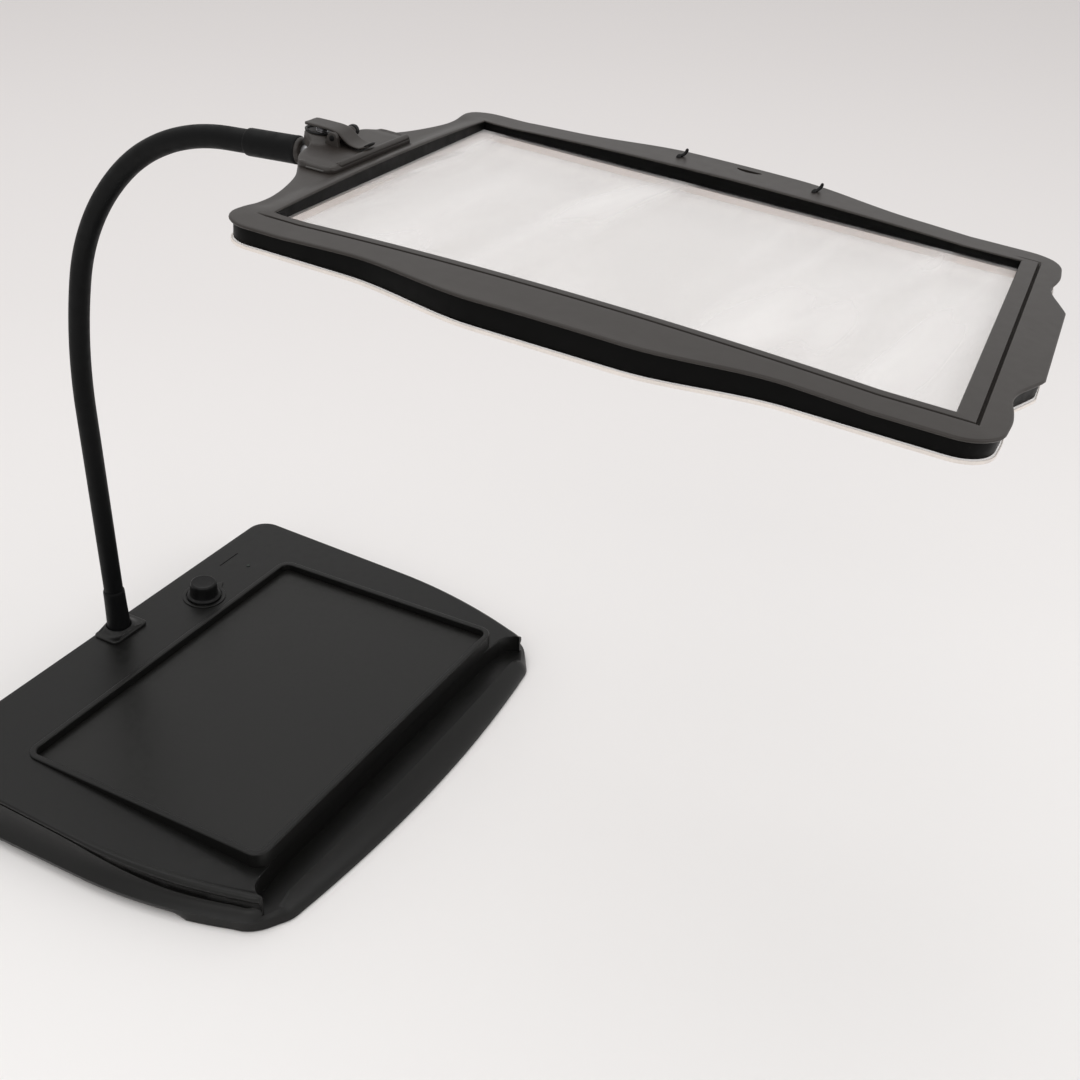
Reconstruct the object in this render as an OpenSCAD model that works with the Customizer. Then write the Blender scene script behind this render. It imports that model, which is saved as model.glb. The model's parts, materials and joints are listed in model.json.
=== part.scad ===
// Desk magnifier: a weighted reading-tray base, a gooseneck and a framed sheet lens.
// Origin: centre of the base on the table. +X to the reader's right, +Y away from
// the reader, +Z up. Millimetres.

/* [Base] */
// Width of the base at its deck edge
base_w = 320; // [300:1:340]
// Distance from the origin to the middle of the front edge
base_front = 127.4; // [124:0.2:130]
// Distance from the origin to the rear wall
base_rear = 127; // [125:0.5:130]
// How far the side skirt flares out beyond the deck edge
skirt_flare = 7; // [3:0.5:9]
// Height of the deck at its rear edge
deck_rear_h = 31; // [30:0.5:33]
// Slope of the deck towards the reader, in degrees
deck_slope = 2.86; // [2:0.02:3]
// Wall thickness of the mouldings
wall = 2.6; // [2:0.1:3]

/* [Tray] */
// Width of the reading tray
tray_w = 250; // [240:1:256]
// Depth of the reading tray, rear rim to front edge
tray_d = 174.3; // [170:0.1:176]
// Height of the tray's rim above the table
rim_h = 30; // [29.5:0.1:31]
// Height of the tray's surface above the table
tray_floor = 25.2; // [24.6:0.1:26.5]
// Width of the rim
rim_w = 4; // [3:0.1:4.5]

/* [Pen trough] */
// Height of the trough's floor
trough_floor = 8; // [7:0.5:9]
// Height of the lip that closes the trough in front
lip_h = 15; // [13:0.5:16]

/* [Dimmer] */
// Knob position, sideways
knob_x = 58.5; // [40:0.5:80]
// Knob position, front to back
knob_y = 97; // [96:0.5:100]
// Diameter of the knob's grip
knob_d = 18; // [15:0.5:20]
// Height of the knob
knob_h = 12; // [9:0.5:14]

/* [Gooseneck] */
// Outside diameter of the sleeve
sleeve_d = 12; // [11:0.1:13]
// Diameter of the wound core
core_d = 8.4; // [8:0.1:8.6]
// Height where the first bend starts
bend_start = 191; // [180:1:200]
// Radii of the three bends
bend_r1 = 348; // [320:1:370]
bend_r2 = 139; // [125:1:150]
// Radius of the last bend
bend_r3 = 104; // [95:1:115]
// Turn of the first bend, in degrees
bend_a1 = 14.4; // [12:0.1:18]
// Turn of the second bend; the last one makes the quarter turn full
bend_a2 = 33.75; // [30:0.25:38]

/* [Lens frame] */
// Width of the lens opening
open_w = 213; // [205:1:216]
// Length of the lens opening
open_l = 292.7; // [285:0.1:297]
// Half width of the frame at its ends
frame_half = 128; // [126:0.5:130]
// Extra half width of the frame at mid length
frame_bulge = 12; // [8:0.5:13]
// Thickness of the clear bottom cover
cover_t = 1.6; // [1.2:0.1:2]
// Thickness of the lens sheet
lens_t = 1.6; // [1.4:0.1:1.8]

/* [Ball joint] */
// Radius of the ball on the neck
ball_r = 6; // [5.6:0.1:6.2]

/* [Hidden] */

$fn = 64;
eps = 0.01;          // overlap that joins shapes of one solid
play = 0.05;         // radial play of a running fit
fit_gap = 0.3;       // gap round a part that drops into a recess

// --- base ---
base_half = base_w / 2;
side_bend = 302;     // radius of the sides where they draw in to the front
front_bow = 931;     // radius of the bowed front edge
shell_low = 0.8;     // lower edge of the top shell
skirt_z = 6;         // height where the skirt is widest
waist_z = 14;        // height where skirt and deck edge meet
lip_in = 11;         // how far the lip's crest stands behind the front edge
pad_t = 1.6;
bottom_z = 3.6;      // top of the bottom plate
ledge_z = 5.6;       // top of the ledge that the bottom plate closes against
ledge_in = 13.5;     // the ledge's inner edge, in from the deck edge
cover_in = 9.5;      // the bottom plate's recess, in from the deck edge
cavity_front_y = -93;
rear_corner = 14;
side_end_y = -96;    // where the side curve runs into the front corner
cavity_top = 17;
tray_rear_y = 79;
tray_front_y = tray_rear_y - tray_d;
tray_corner = 9;
panel_t = 0.8;
deck_ref_y = 123;    // the deck is deck_rear_h high here
ballast = [220, 120, 7];
ballast_y = 5;
boss_xy = [[138, 100], [140, 10], [126, -78]];
neck_x = -2;
neck_y = 117.5;
led_xy = [104.8, 96];
inlet_x = 100;
inlet_z = 21;
board_z = 15;
board_t = 1.6;

function deck_z(y) = deck_rear_h + (y - deck_ref_y) * tan(deck_slope);
function side_x(y, w) = y > 0 ? w : w - y * y / (2 * side_bend);
function front_y(x, d) = -base_front + d + x * x / (2 * front_bow);
function bezier(a, b, c, t) = a * (1 - t) * (1 - t) + b * 2 * t * (1 - t) + c * t * t;
function mirrored(half) = concat(half, [for (i = [len(half) - 2:-1:1]) [-half[i][0], half[i][1]]]);

// right half of the base outline for a half width w, drawn in by front_in and rear_in
function base_half_outline(w, front_in, rear_in) =
    let (fx = w - 36,
         a = [side_x(side_end_y, w), side_end_y],
         b = [side_x(side_end_y - 18, w) + 1, front_y(fx, front_in) + 1],
         c = [fx, front_y(fx, front_in)],
         rear = base_rear - rear_in)
    concat(
        [[0, rear]],
        [for (t = [90:-15:0]) [w - rear_corner * (1 - cos(t)), rear - rear_corner * (1 - sin(t))]],
        [for (y = [0:-16:side_end_y + 1]) [side_x(y, w), y]],
        [for (i = [0:5]) bezier(a, b, c, i / 5)],
        [for (i = [4:-1:0]) [fx * i / 5, front_y(fx * i / 5, front_in)]]
    );

module base_plan(w, front_in = 0, rear_in = 0) {
    polygon(mirrored(base_half_outline(w, front_in, rear_in)));
}

module base_slab(z, t, w, front_in = 0, rear_in = 0) {
    translate([0, 0, z]) linear_extrude(t) base_plan(w, front_in, rear_in);
}

// everything under the sloping deck surface
module under_deck() {
    translate([0, deck_ref_y, deck_rear_h]) rotate([deck_slope, 0, 0])
        translate([-250, -400, -60]) cube([500, 500, 60]);
}

module rounded_rect(w, d, r) {
    translate([r, 0]) square([w - 2 * r, d]);
    translate([0, r]) square([w, d - 2 * r]);
    for (x = [r, w - r], y = [r, d - r]) translate([x, y]) circle(r);
}

module tray_plan(inset = 0) {
    translate([-tray_w / 2 + inset, tray_front_y + inset])
        rounded_rect(tray_w - 2 * inset, tray_d - 2 * inset, tray_corner - inset);
}

module at_bosses() {
    for (p = boss_xy, s = [-1, 1]) translate([s * p[0], p[1], 0]) children();
}

// --- base top shell ---
trough_rear = [[-220, -113], [-139, -107], [-127, -96.5], [127, -96.5], [139, -107], [220, -113]];
crest_bow = 1750;
lip_slope_x = 114;   // the lip's crest runs to here on either side
lip_slope = 24;
function crest_y(x) = -base_front + 12.4 + x * x / (2 * crest_bow);

// everything in front of the trough's rear wall
module front_region() {
    polygon(concat(trough_rear, [[220, -200], [-220, -200]]));
}

module deck_block() {
    intersection() {
        translate([0, 0, waist_z - 1]) linear_extrude(30) difference() {
            base_plan(base_half);
            front_region();
        }
        under_deck();
    }
}

module skirt_block() {
    hull() {
        base_slab(shell_low, eps, base_half + 1);
        base_slab(skirt_z, eps, base_half + skirt_flare, 4);
        base_slab(waist_z, 1, base_half, lip_in);
    }
}

module trough_cut() {
    translate([0, 0, trough_floor]) linear_extrude(30)
        polygon(concat(trough_rear, [for (x = [220:-22:-220]) [x, crest_y(x)]]));
    // the lip's ends slope down to the trough's floor
    intersection() {
        translate([0, 0, trough_floor]) linear_extrude(30) front_region();
        for (s = [-1, 1]) translate([s * lip_slope_x, 0, lip_h]) rotate([0, s * lip_slope, 0])
            translate([s > 0 ? 0 : -90, -160, 0]) cube([90, 80, 30]);
    }
}

module shell_cavity() {
    difference() {
        intersection() {
            base_slab(ledge_z, cavity_top - ledge_z, base_half - 3, 0, wall);
            translate([-200, cavity_front_y, 0]) cube([400, 400, 40]);
        }
        at_bosses() cylinder(r = 4.2, h = 40);
    }
    // upper hollows, under the tray and under the deck behind it
    translate([-tray_w / 2 + 3.5, tray_front_y + 3, cavity_top - 1])
        cube([tray_w - 7, tray_d - 7, tray_floor - panel_t - 2 - cavity_top + 1]);
    translate([-base_half + 20, 84, cavity_top - 1]) cube([base_w - 40, base_rear - wall - 84, 11]);
    // recess for the bottom plate, and the opening above it that the ledge surrounds
    base_slab(-1, bottom_z + 1, base_half - cover_in, cover_in, cover_in);
    intersection() {
        base_slab(0, ledge_z + 1, base_half - ledge_in, ledge_in, ledge_in);
        translate([-200, cavity_front_y, -1]) cube([400, 400, 40]);
    }
}

module base_top() {
    color([0.13, 0.13, 0.13]) difference() {
        union() {
            deck_block();
            skirt_block();
            translate([0, 0, waist_z - 2]) linear_extrude(rim_h - waist_z + 2) tray_plan();
        }
        trough_cut();
        translate([0, 0, tray_floor - panel_t]) linear_extrude(20) tray_plan(rim_w);
        shell_cavity();
        at_bosses() translate([0, 0, -1]) cylinder(r = 1.2, h = 14);
        translate([neck_x, neck_y, 10]) cylinder(r = stud_r + fit_gap, h = 30);
        in_knob() translate([0, 0, -12]) cylinder(r = 4.1, h = 20);
        translate([led_xy[0], led_xy[1], 10]) cylinder(r = 1.5, h = 30);
        translate([inlet_x, 110, inlet_z]) rotate([-90, 0, 0]) cylinder(r = 5, h = 30);
    }
}

plate_in = cover_in + fit_gap;
module base_bottom() {
    color([0.1, 0.1, 0.1]) difference() {
        base_slab(pad_t, bottom_z - pad_t, base_half - plate_in, plate_in, plate_in);
        at_bosses() cylinder(r = 1.6, h = 10);
        at_ballast_corners() cylinder(r = 2.1, h = 20);
    }
}

module grip_pad() {
    color([0.2, 0.2, 0.2]) base_slab(0, pad_t, base_half - 20, 18, 18);
}

module at_ballast_corners() {
    for (x = [-96, 96], y = [-48, 48]) translate([x, ballast_y + y, 0]) children();
}

module ballast_plate() {
    color([0.55, 0.55, 0.57]) difference() {
        translate([-ballast[0] / 2, ballast_y - ballast[1] / 2, bottom_z]) cube(ballast);
        at_ballast_corners() cylinder(r = 2.1, h = 20);
    }
}

module ballast_screws() {
    color([0.75, 0.75, 0.75]) at_ballast_corners() translate([0, 0, pad_t + 0.2]) cylinder(r = 2, h = 8.6);
}

module base_screws() {
    color([0.75, 0.75, 0.75]) at_bosses() translate([0, 0, pad_t + 0.2]) cylinder(r = 1.15, h = 10);
}

module tray_panel() {
    color([0.16, 0.16, 0.155]) translate([0, 0, tray_floor - panel_t]) linear_extrude(panel_t)
        tray_plan(rim_w + fit_gap);
}

// --- neck socket in the deck ---
anchor_r = 5;        // cup that holds the core
stud_r = 4;          // threaded stud below it, through the deck
stud_low = 20;
shoulder_z = 31.1;   // the cup stands on the deck here
core_seat_z = 40;
boot_low = 31.5;
boot_high = 62;
socket_top = 36;

module socket_pad() {
    color([0.14, 0.14, 0.14]) difference() {
        union() {
            translate([neck_x - 15.5, neck_y - 11, 26]) linear_extrude(7.2) rounded_rect(31, 20, 4);
            translate([neck_x, neck_y - 1, 26]) cylinder(r1 = 13.6, r2 = 8.9, h = socket_top - 26);
        }
        under_deck();
        translate([neck_x, neck_y, 20]) cylinder(r = 7.75, h = 30);
        translate([-100, base_rear, 0]) cube([200, 50, 60]);
    }
}

module neck_anchor() {
    color([0.7, 0.7, 0.72]) translate([neck_x, neck_y, 0]) difference() {
        union() {
            translate([0, 0, stud_low]) cylinder(r = stud_r, h = shoulder_z - stud_low + eps);
            translate([0, 0, shoulder_z]) cylinder(r = anchor_r, h = 56 - shoulder_z);
        }
        cylinder(r = 2.2, h = 80);
        translate([0, 0, core_seat_z]) cylinder(r = core_d / 2 + play, h = 20);
    }
}

module anchor_washer() {
    color([0.75, 0.75, 0.75]) translate([neck_x, neck_y, 25.8]) difference() {
        cylinder(r = 6.6, h = 1);
        translate([0, 0, -1]) cylinder(r = stud_r + 0.1, h = 3);
    }
}

module anchor_nut() {
    color([0.75, 0.75, 0.75]) translate([neck_x, neck_y, 21]) difference() {
        cylinder(r = 6.6, h = 4.8, $fn = 6);
        translate([0, 0, -1]) cylinder(r = stud_r + play, h = 8);
    }
}

module neck_boot() {
    color([0.12, 0.12, 0.12]) translate([neck_x, neck_y, 0]) difference() {
        translate([0, 0, boot_low]) cylinder(r1 = 7.6, r2 = 6.4, h = boot_high - boot_low);
        cylinder(r = anchor_r + play, h = 57);
        cylinder(r = core_d / 2 + play, h = 80);
    }
}

// --- dimmer ---
module in_knob() {
    translate([knob_x, knob_y, deck_z(knob_y)]) rotate([deck_slope, 0, 0]) children();
}

shaft_r = 3;
pot_low = -12.2;

module dial_ring() {
    color([0.15, 0.15, 0.15]) in_knob() difference() {
        union() {
            cylinder(r = 14.5, h = 0.8);
            translate([0, -2.5, 0]) linear_extrude(0.8) polygon([[12.5, 0], [20, 2.5], [12.5, 5]]);
        }
        translate([0, 0, -1]) cylinder(r = 12, h = 3);
    }
}

module dimmer_pot() {
    color([0.5, 0.5, 0.52]) in_knob() difference() {
        union() {
            translate([0, 0, pot_low]) cylinder(r = 8, h = 8.6);
            translate([0, 0, pot_low]) cylinder(r = 4, h = -pot_low - 0.2);
        }
        translate([0, 0, pot_low + 1]) cylinder(r = shaft_r + play, h = 20);
    }
}

module pot_nut() {
    color([0.75, 0.75, 0.75]) in_knob() translate([0, 0, -3.55]) difference() {
        cylinder(r = 5.6, h = 0.5);
        translate([0, 0, -1]) cylinder(r = 4 + play, h = 3);
    }
}

module pot_shaft() {
    color([0.7, 0.7, 0.72]) in_knob() translate([0, 0, pot_low + 1.2]) cylinder(r = shaft_r, h = 19);
}

module dimmer_knob() {
    color([0.1, 0.1, 0.1]) in_knob() difference() {
        union() {
            translate([0, 0, 0.4]) cylinder(r = 11.5, h = 1.8);
            translate([0, 0, 2]) cylinder(r1 = knob_d / 2 + 0.5, r2 = knob_d / 2 - 0.4, h = knob_h - 2);
            translate([8, -0.8, 0.4]) cube([5.4 - fit_gap * 5, 1.6, 1.6]);
        }
        translate([0, 0, -1]) cylinder(r = shaft_r, h = pot_low + 21.2);
    }
}

module control_board() {
    color([0.1, 0.35, 0.2]) translate([38, 85, board_z - 1]) cube([74, 38, board_t]);
}

module indicator_lens() {
    color([0.3, 0.9, 0.4]) translate([led_xy[0], led_xy[1], board_z + board_t - 1])
        cylinder(r = 1.4, h = deck_z(led_xy[1]) - board_z - board_t + 1.4);
}

module power_inlet() {
    color([0.08, 0.08, 0.08]) difference() {
        union() {
            translate([inlet_x - 5.5, 108, board_z + board_t - 1]) cube([11, 15, 11]);
            translate([inlet_x, 120, inlet_z]) rotate([-90, 0, 0]) cylinder(r = 4.8, h = base_rear - 120);
        }
        translate([inlet_x, 112, inlet_z]) rotate([-90, 0, 0]) difference() {
            cylinder(r = 3.2, h = 20);
            cylinder(r = 1, h = 13);
        }
    }
}

// a lead drawn through a list of points
module lead(points, r) {
    for (i = [0:len(points) - 2]) {
        a = points[i];
        b = points[i + 1];
        d = b - a;
        translate(a) rotate([0, acos(d[2] / norm(d)), atan2(d[1], d[0])])
            cylinder(r = r, h = norm(d), $fn = 24);
        if (i > 0) translate(a) sphere(r + hair, $fn = 24);
    }
}

module base_harness() {
    color([0.7, 0.1, 0.1]) lead([
        [38, 104, board_z], [neck_x, 104, board_z], [neck_x, neck_y, board_z], [neck_x, neck_y, 22]
    ], 1.1);
}

// --- gooseneck, drawn in the vertical plane it bends in ---
neck_yaw = 3.86;
lean_z = 75;         // sideways hinge
low_bend_z = 105;    // lowest fore-and-aft hinge
flex_low_top = 118;
flex_half = 8;       // half length of the soft sleeve over a hinge
swing = 22;          // room for a hinge's swing, in degrees
lead_r = 1.2;
lead_bore = 1.5;
core_r = core_d / 2;
sleeve_r = sleeve_d / 2;
bend_a3 = 90 - bend_a1 - bend_a2;
deg = 180 / PI;

// points are [forward, up]; a heading of 0 is straight up, 90 is forward
function turn(p, h, r, a) = p + r * [cos(h) - cos(h + a), sin(h + a) - sin(h)];
p1 = [0, bend_start];
p2 = turn(p1, 0, bend_r1, bend_a1);
p3 = turn(p2, bend_a1, bend_r2, bend_a2);
p4 = turn(p3, bend_a1 + bend_a2, bend_r3, bend_a3);
h2 = bend_a1;
h3 = bend_a1 + bend_a2;
ferrule_s = 135.2;
neck_end_s = 165.2;
knuckle_s = 177.2;
arm_z = p4[1];

module in_neck() {
    translate([neck_x, neck_y, 0]) rotate([0, 0, neck_yaw]) children();
}

// stands a shape at a neck point, with its +Z along the heading
module at_neck(p, h) {
    translate([0, -p[0], p[1]]) rotate([h, 0, 0]) children();
}

module straight(p, h, len, r, bore) {
    at_neck(p, h) difference() {
        cylinder(r = r, h = len);
        translate([0, 0, -1]) cylinder(r = bore, h = len + 2);
    }
}

// a stretch of a bend that starts at p with heading h, from angle a to angle b of the bend
// It is a hair thinner than what it laps into, so that the two join cleanly.
lap = 0.3;
hair = 0.03;
module bend(p, h, radius, a, b, r, bore, thinner = hair) {
    c = p + radius * [cos(h), -sin(h)];
    translate([0, -c[0], c[1]]) rotate([90, 0, -90]) rotate([0, 0, 180 - h - b])
        rotate_extrude(angle = b - a, $fn = 720) translate([radius, 0]) difference() {
            circle(r - thinner, $fn = 64);
            circle(bore + thinner, $fn = 32);
        }
}

// round end of a core at a hinge; the hinge's axis is along X, or along Y when turned
module knuckle_round(p, h, turned = 0) {
    at_neck(p, h) rotate([0, 0, turned]) difference() {
        intersection() {
            translate([0, 0, -lap]) cylinder(r = core_r, h = core_r + 1);
            rotate([0, 90, 0]) cylinder(r = core_r, h = 20, center = true);
        }
        translate([0, 0, -1]) cylinder(r = lead_bore, h = 20);
    }
}

// what a core's hollow end leaves free for the round end below it
module knuckle_room(p, h, turned = 0) {
    at_neck(p, h) rotate([0, 0, turned]) {
        rotate([0, 90, 0]) cylinder(r = core_r + play, h = 20, center = true);
        translate([-10, -10, -10]) cube([20, 20, 10]);
        for (s = [-1, 1]) rotate([s * swing, 0, 0]) translate([-10, -10, -10]) cube([20, 20, 10]);
    }
}

module neck_core_0() {
    color([0.45, 0.45, 0.47]) in_neck() {
        straight([0, core_seat_z + 0.5], 0, lean_z - core_seat_z - 0.5, core_r, lead_bore);
        knuckle_round([0, lean_z], 0, 90);
    }
}

module neck_core_1() {
    color([0.45, 0.45, 0.47]) in_neck() difference() {
        union() {
            straight([0, lean_z - 2], 0, low_bend_z - lean_z + 2, core_r, lead_bore);
            knuckle_round([0, low_bend_z], 0);
        }
        knuckle_room([0, lean_z], 0, 90);
    }
}

module neck_core_2() {
    color([0.45, 0.45, 0.47]) in_neck() difference() {
        union() {
            straight([0, low_bend_z - 2], 0, bend_start - low_bend_z + 2 + lap, core_r, lead_bore);
            bend(p1, 0, bend_r1, 0, bend_a1, core_r, lead_bore);
            knuckle_round(p2, h2);
        }
        knuckle_room([0, low_bend_z], 0);
    }
}

module neck_core_3() {
    color([0.45, 0.45, 0.47]) in_neck() difference() {
        union() {
            bend(p2, h2, bend_r2, 0, bend_a2, core_r, lead_bore);
            knuckle_round(p3, h3);
        }
        knuckle_room(p2, h2);
    }
}

module neck_core_4() {
    color([0.45, 0.45, 0.47]) in_neck() difference() {
        union() {
            bend(p3, h3, bend_r3, 0, bend_a3, core_r, lead_bore);
            straight(p4 - [lap, 0], 90, neck_end_s - p4[0] - 8, core_r, lead_bore);
        }
        knuckle_room(p3, h3);
    }
}

lead_gap = core_r + 0.4;   // a lead's distance from the hinge on the hollow side
module neck_lead_0() {
    color([0.7, 0.1, 0.1]) in_neck() straight([0, 22.2], 0, lean_z - 22.2, lead_r, 0.3);
}

module neck_lead_1() {
    color([0.7, 0.1, 0.1]) in_neck()
        straight([0, lean_z + lead_gap], 0, low_bend_z - lean_z - lead_gap, lead_r, 0.3);
}

module neck_lead_2() {
    color([0.7, 0.1, 0.1]) in_neck() {
        straight([0, low_bend_z + lead_gap], 0, bend_start - low_bend_z - lead_gap + lap, lead_r, 0.3);
        bend(p1, 0, bend_r1, 0, bend_a1, lead_r, 0.3);
    }
}

module neck_lead_3() {
    color([0.7, 0.1, 0.1]) in_neck()
        bend(p2, h2, bend_r2, lead_gap / bend_r2 * deg, bend_a2, lead_r, 0.3);
}

module neck_lead_4() {
    color([0.7, 0.1, 0.1]) in_neck() {
        bend(p3, h3, bend_r3, lead_gap / bend_r3 * deg, bend_a3, lead_r, 0.3);
        straight(p4 - [lap, 0], 90, neck_end_s - p4[0] - 1, lead_r, 0.3);
    }
}

sleeve_bore = core_r + play;
module flex_sleeve_low() {
    color([0.1, 0.1, 0.1]) in_neck()
        straight([0, boot_high], 0, flex_low_top - boot_high, sleeve_r, sleeve_bore);
}

module neck_sleeve_2() {
    color([0.11, 0.11, 0.11]) in_neck() {
        straight([0, flex_low_top], 0, bend_start - flex_low_top + lap, sleeve_r, sleeve_bore);
        bend(p1, 0, bend_r1, 0, bend_a1 - flex_half / bend_r1 * deg, sleeve_r, sleeve_bore);
    }
}

module flex_sleeve_mid() {
    color([0.1, 0.1, 0.1]) in_neck() {
        bend(p1, 0, bend_r1, bend_a1 - flex_half / bend_r1 * deg, bend_a1, sleeve_r, sleeve_bore);
        bend(p2, h2, bend_r2, -lap / bend_r2 * deg, flex_half / bend_r2 * deg,
            sleeve_r, sleeve_bore, 2 * hair);
    }
}

module neck_sleeve_3() {
    f = flex_half / bend_r2 * deg;
    color([0.11, 0.11, 0.11]) in_neck() bend(p2, h2, bend_r2, f, bend_a2 - f, sleeve_r, sleeve_bore);
}

module flex_sleeve_top() {
    color([0.1, 0.1, 0.1]) in_neck() {
        bend(p2, h2, bend_r2, bend_a2 - flex_half / bend_r2 * deg, bend_a2, sleeve_r, sleeve_bore);
        bend(p3, h3, bend_r3, -lap / bend_r3 * deg, flex_half / bend_r3 * deg,
            sleeve_r, sleeve_bore, 2 * hair);
    }
}

module neck_sleeve_4() {
    color([0.11, 0.11, 0.11]) in_neck() {
        bend(p3, h3, bend_r3, flex_half / bend_r3 * deg, bend_a3, sleeve_r, sleeve_bore);
        straight(p4 - [lap, 0], 90, neck_end_s - 10 - p4[0], sleeve_r, sleeve_bore);
    }
}

ferrule_r = 7;
stem_r = 3.2;
module neck_ferrule() {
    color([0.13, 0.13, 0.13]) in_neck() at_neck([ferrule_s, arm_z], 90) difference() {
        cylinder(r = ferrule_r, h = neck_end_s - ferrule_s);
        translate([0, 0, -1]) cylinder(r = sleeve_r + play, h = neck_end_s - ferrule_s - 7);
        cylinder(r = stem_r + play, h = 60);
    }
}

module neck_collar() {
    color([0.3, 0.3, 0.3]) in_neck() at_neck([neck_end_s, arm_z], 90) difference() {
        cylinder(r1 = ferrule_r - 0.2, r2 = 5.6, h = 2.4);
        translate([0, 0, -1]) cylinder(r = stem_r + play, h = 6);
    }
}

module swivel_ball() {
    color([0.6, 0.6, 0.62]) in_neck() difference() {
        union() {
            at_neck([neck_end_s - 6.5, arm_z], 90) cylinder(r = stem_r, h = 14);
            at_neck([knuckle_s, arm_z], 90) sphere(ball_r);
        }
        at_neck([neck_end_s - 8, arm_z], 90) cylinder(r = lead_bore, h = 40);
    }
}

// hollow ball shell at the knuckle, open towards the neck by a cone of the given half angle
module ball_shell(outer, inner, half_angle) {
    reach = 20;
    rotate([-90, 0, 0]) rotate_extrude($fn = 96) difference() {
        intersection() {
            circle(outer, $fn = 96);
            translate([0, -outer]) square([outer, 2 * outer]);
        }
        circle(inner, $fn = 96);
        polygon([[0, 0], [reach * tan(half_angle), reach], [0, reach]]);
    }
}

liner_r = ball_r + 1;
module ball_liner() {
    color([0.85, 0.85, 0.8]) in_neck() translate([0, -knuckle_s, arm_z]) difference() {
        ball_shell(liner_r - play, ball_r + play, 62);
        rotate([90, 0, 0]) cylinder(r = 2.4, h = 20);
    }
}

// --- head ---
// In the head's own frame the origin is the middle of the opening's rear edge at the
// lens's upper face, and +Y points back to the neck.
head_tilt = [5.95, 3.12, 5.78];
knuckle = [0, 39.9, -1.55];

module in_head() {
    in_neck() translate([0, -knuckle_s, arm_z]) rotate([head_tilt[0], head_tilt[1], head_tilt[2] - neck_yaw])
        translate(-knuckle) children();
}

band_top = 3.6;      // top of the bezel's flat band
band_low = 1.2;
bezel_rim = 4.7;     // top of the rim round the opening
crown = 3.4;         // rise of the long sides at mid length, above the flat band
housing_low = -5.2;
bulge_y = -140;
bulge_flat = 30;
bulge_end = 95;
end_corner = 18;
lens_edge = 3.5;     // how far the lens reaches under the rim
channel_in = 5.5;    // distance from the opening to the light channel
tab_y = 320;

function smooth(t) = let (c = max(0, min(1, t))) c * c * (3 - 2 * c);
function bulge_part(y) = smooth((bulge_end - abs(y - bulge_y)) / (bulge_end - bulge_flat));
function frame_x(y) = frame_half + frame_bulge * bulge_part(y);
function corner_arc(cx, cy, a, b, n) =
    [for (i = [0:n]) let (t = a + (b - a) * i / n) [cx + end_corner * cos(t), cy + end_corner * sin(t)]];
frame_outline = concat(
    [[0, 36], [29, 36], [36, 33], [43, 26], [52, 20], [64, 17], [80, 15], [100, 13.5]],
    corner_arc(frame_half - end_corner, -5, 90, 0, 6),
    [for (y = [-40:-12:-244]) [frame_x(y), y]],
    corner_arc(frame_half - end_corner, -294.5, 0, -90, 6),
    [[98, -313.2], [88, -312.4], [76, -311.3], [66, -313], [56, -316], [42, -tab_y], [0, -tab_y]]
);

function drawn_in(p, d) = [max(0, p[0] - (p[0] > d ? d : 0)), p[1] + (p[1] > bulge_y ? -d : d)];
module frame_plan(d = 0) {
    polygon(mirrored([for (p = frame_outline) drawn_in(p, d)]));
}

module opening_plan(grow = 0) {
    translate([-open_w / 2 - grow, -open_l - grow]) square([open_w + 2 * grow, open_l + 2 * grow]);
}

module ring(z, h, outer_in, grow) {
    translate([0, 0, z]) linear_extrude(h) difference() {
        frame_plan(outer_in);
        opening_plan(grow);
    }
}

module rim_ring(z, h, outer, inner) {
    translate([0, 0, z]) linear_extrude(h) difference() {
        opening_plan(outer);
        opening_plan(inner);
    }
}

// room for the ball joint at the rear of the frame
module joint_room() {
    translate([knuckle[0], knuckle[1], -30]) cylinder(r = 10.2, h = 60);
}

// long arched bars that crown the long sides
module crown_bars() {
    half = 118;
    rise_r = half * half / (2 * crown);
    arc = [for (y = [-half:11.8:half + 1]) [y, crown - y * y / (2 * rise_r)]];
    intersection() {
        translate([0, 0, -1]) linear_extrude(20) frame_plan();
        for (s = [0, 1]) mirror([s, 0, 0]) translate([open_w / 2 + 7, bulge_y, band_top - eps])
            rotate([90, 0, 90]) linear_extrude(60) polygon(concat([[half, 0], [-half, 0]], arc));
    }
}

head_screw_xy = [[119.6, -6], [127, -140], [116, -292]];
module at_head_screws() {
    for (p = head_screw_xy, s = [-1, 1]) translate([s * p[0], p[1], 0]) children();
}

hook_x = 125;
hook_y = [-106.8, -182];
hook_r = 0.9;
hook_rise = 6.4;
module top_bezel() {
    color([0.36, 0.34, 0.33]) in_head() difference() {
        union() {
            ring(band_low, band_top - band_low, 0, 0);
            rim_ring(0.02, bezel_rim, 5, 0);
            crown_bars();
        }
        rim_ring(-1, 1 + band_low, 20, 2);
        joint_room();
        // shallow thumb slot on the right-hand side
        translate([131, -150, band_top + crown - 1.2]) cube([4, 11, 5]);
        for (y = hook_y) translate([hook_x, y, 2]) cylinder(r = hook_r + play, h = 10, $fn = 24);
    }
}

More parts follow.
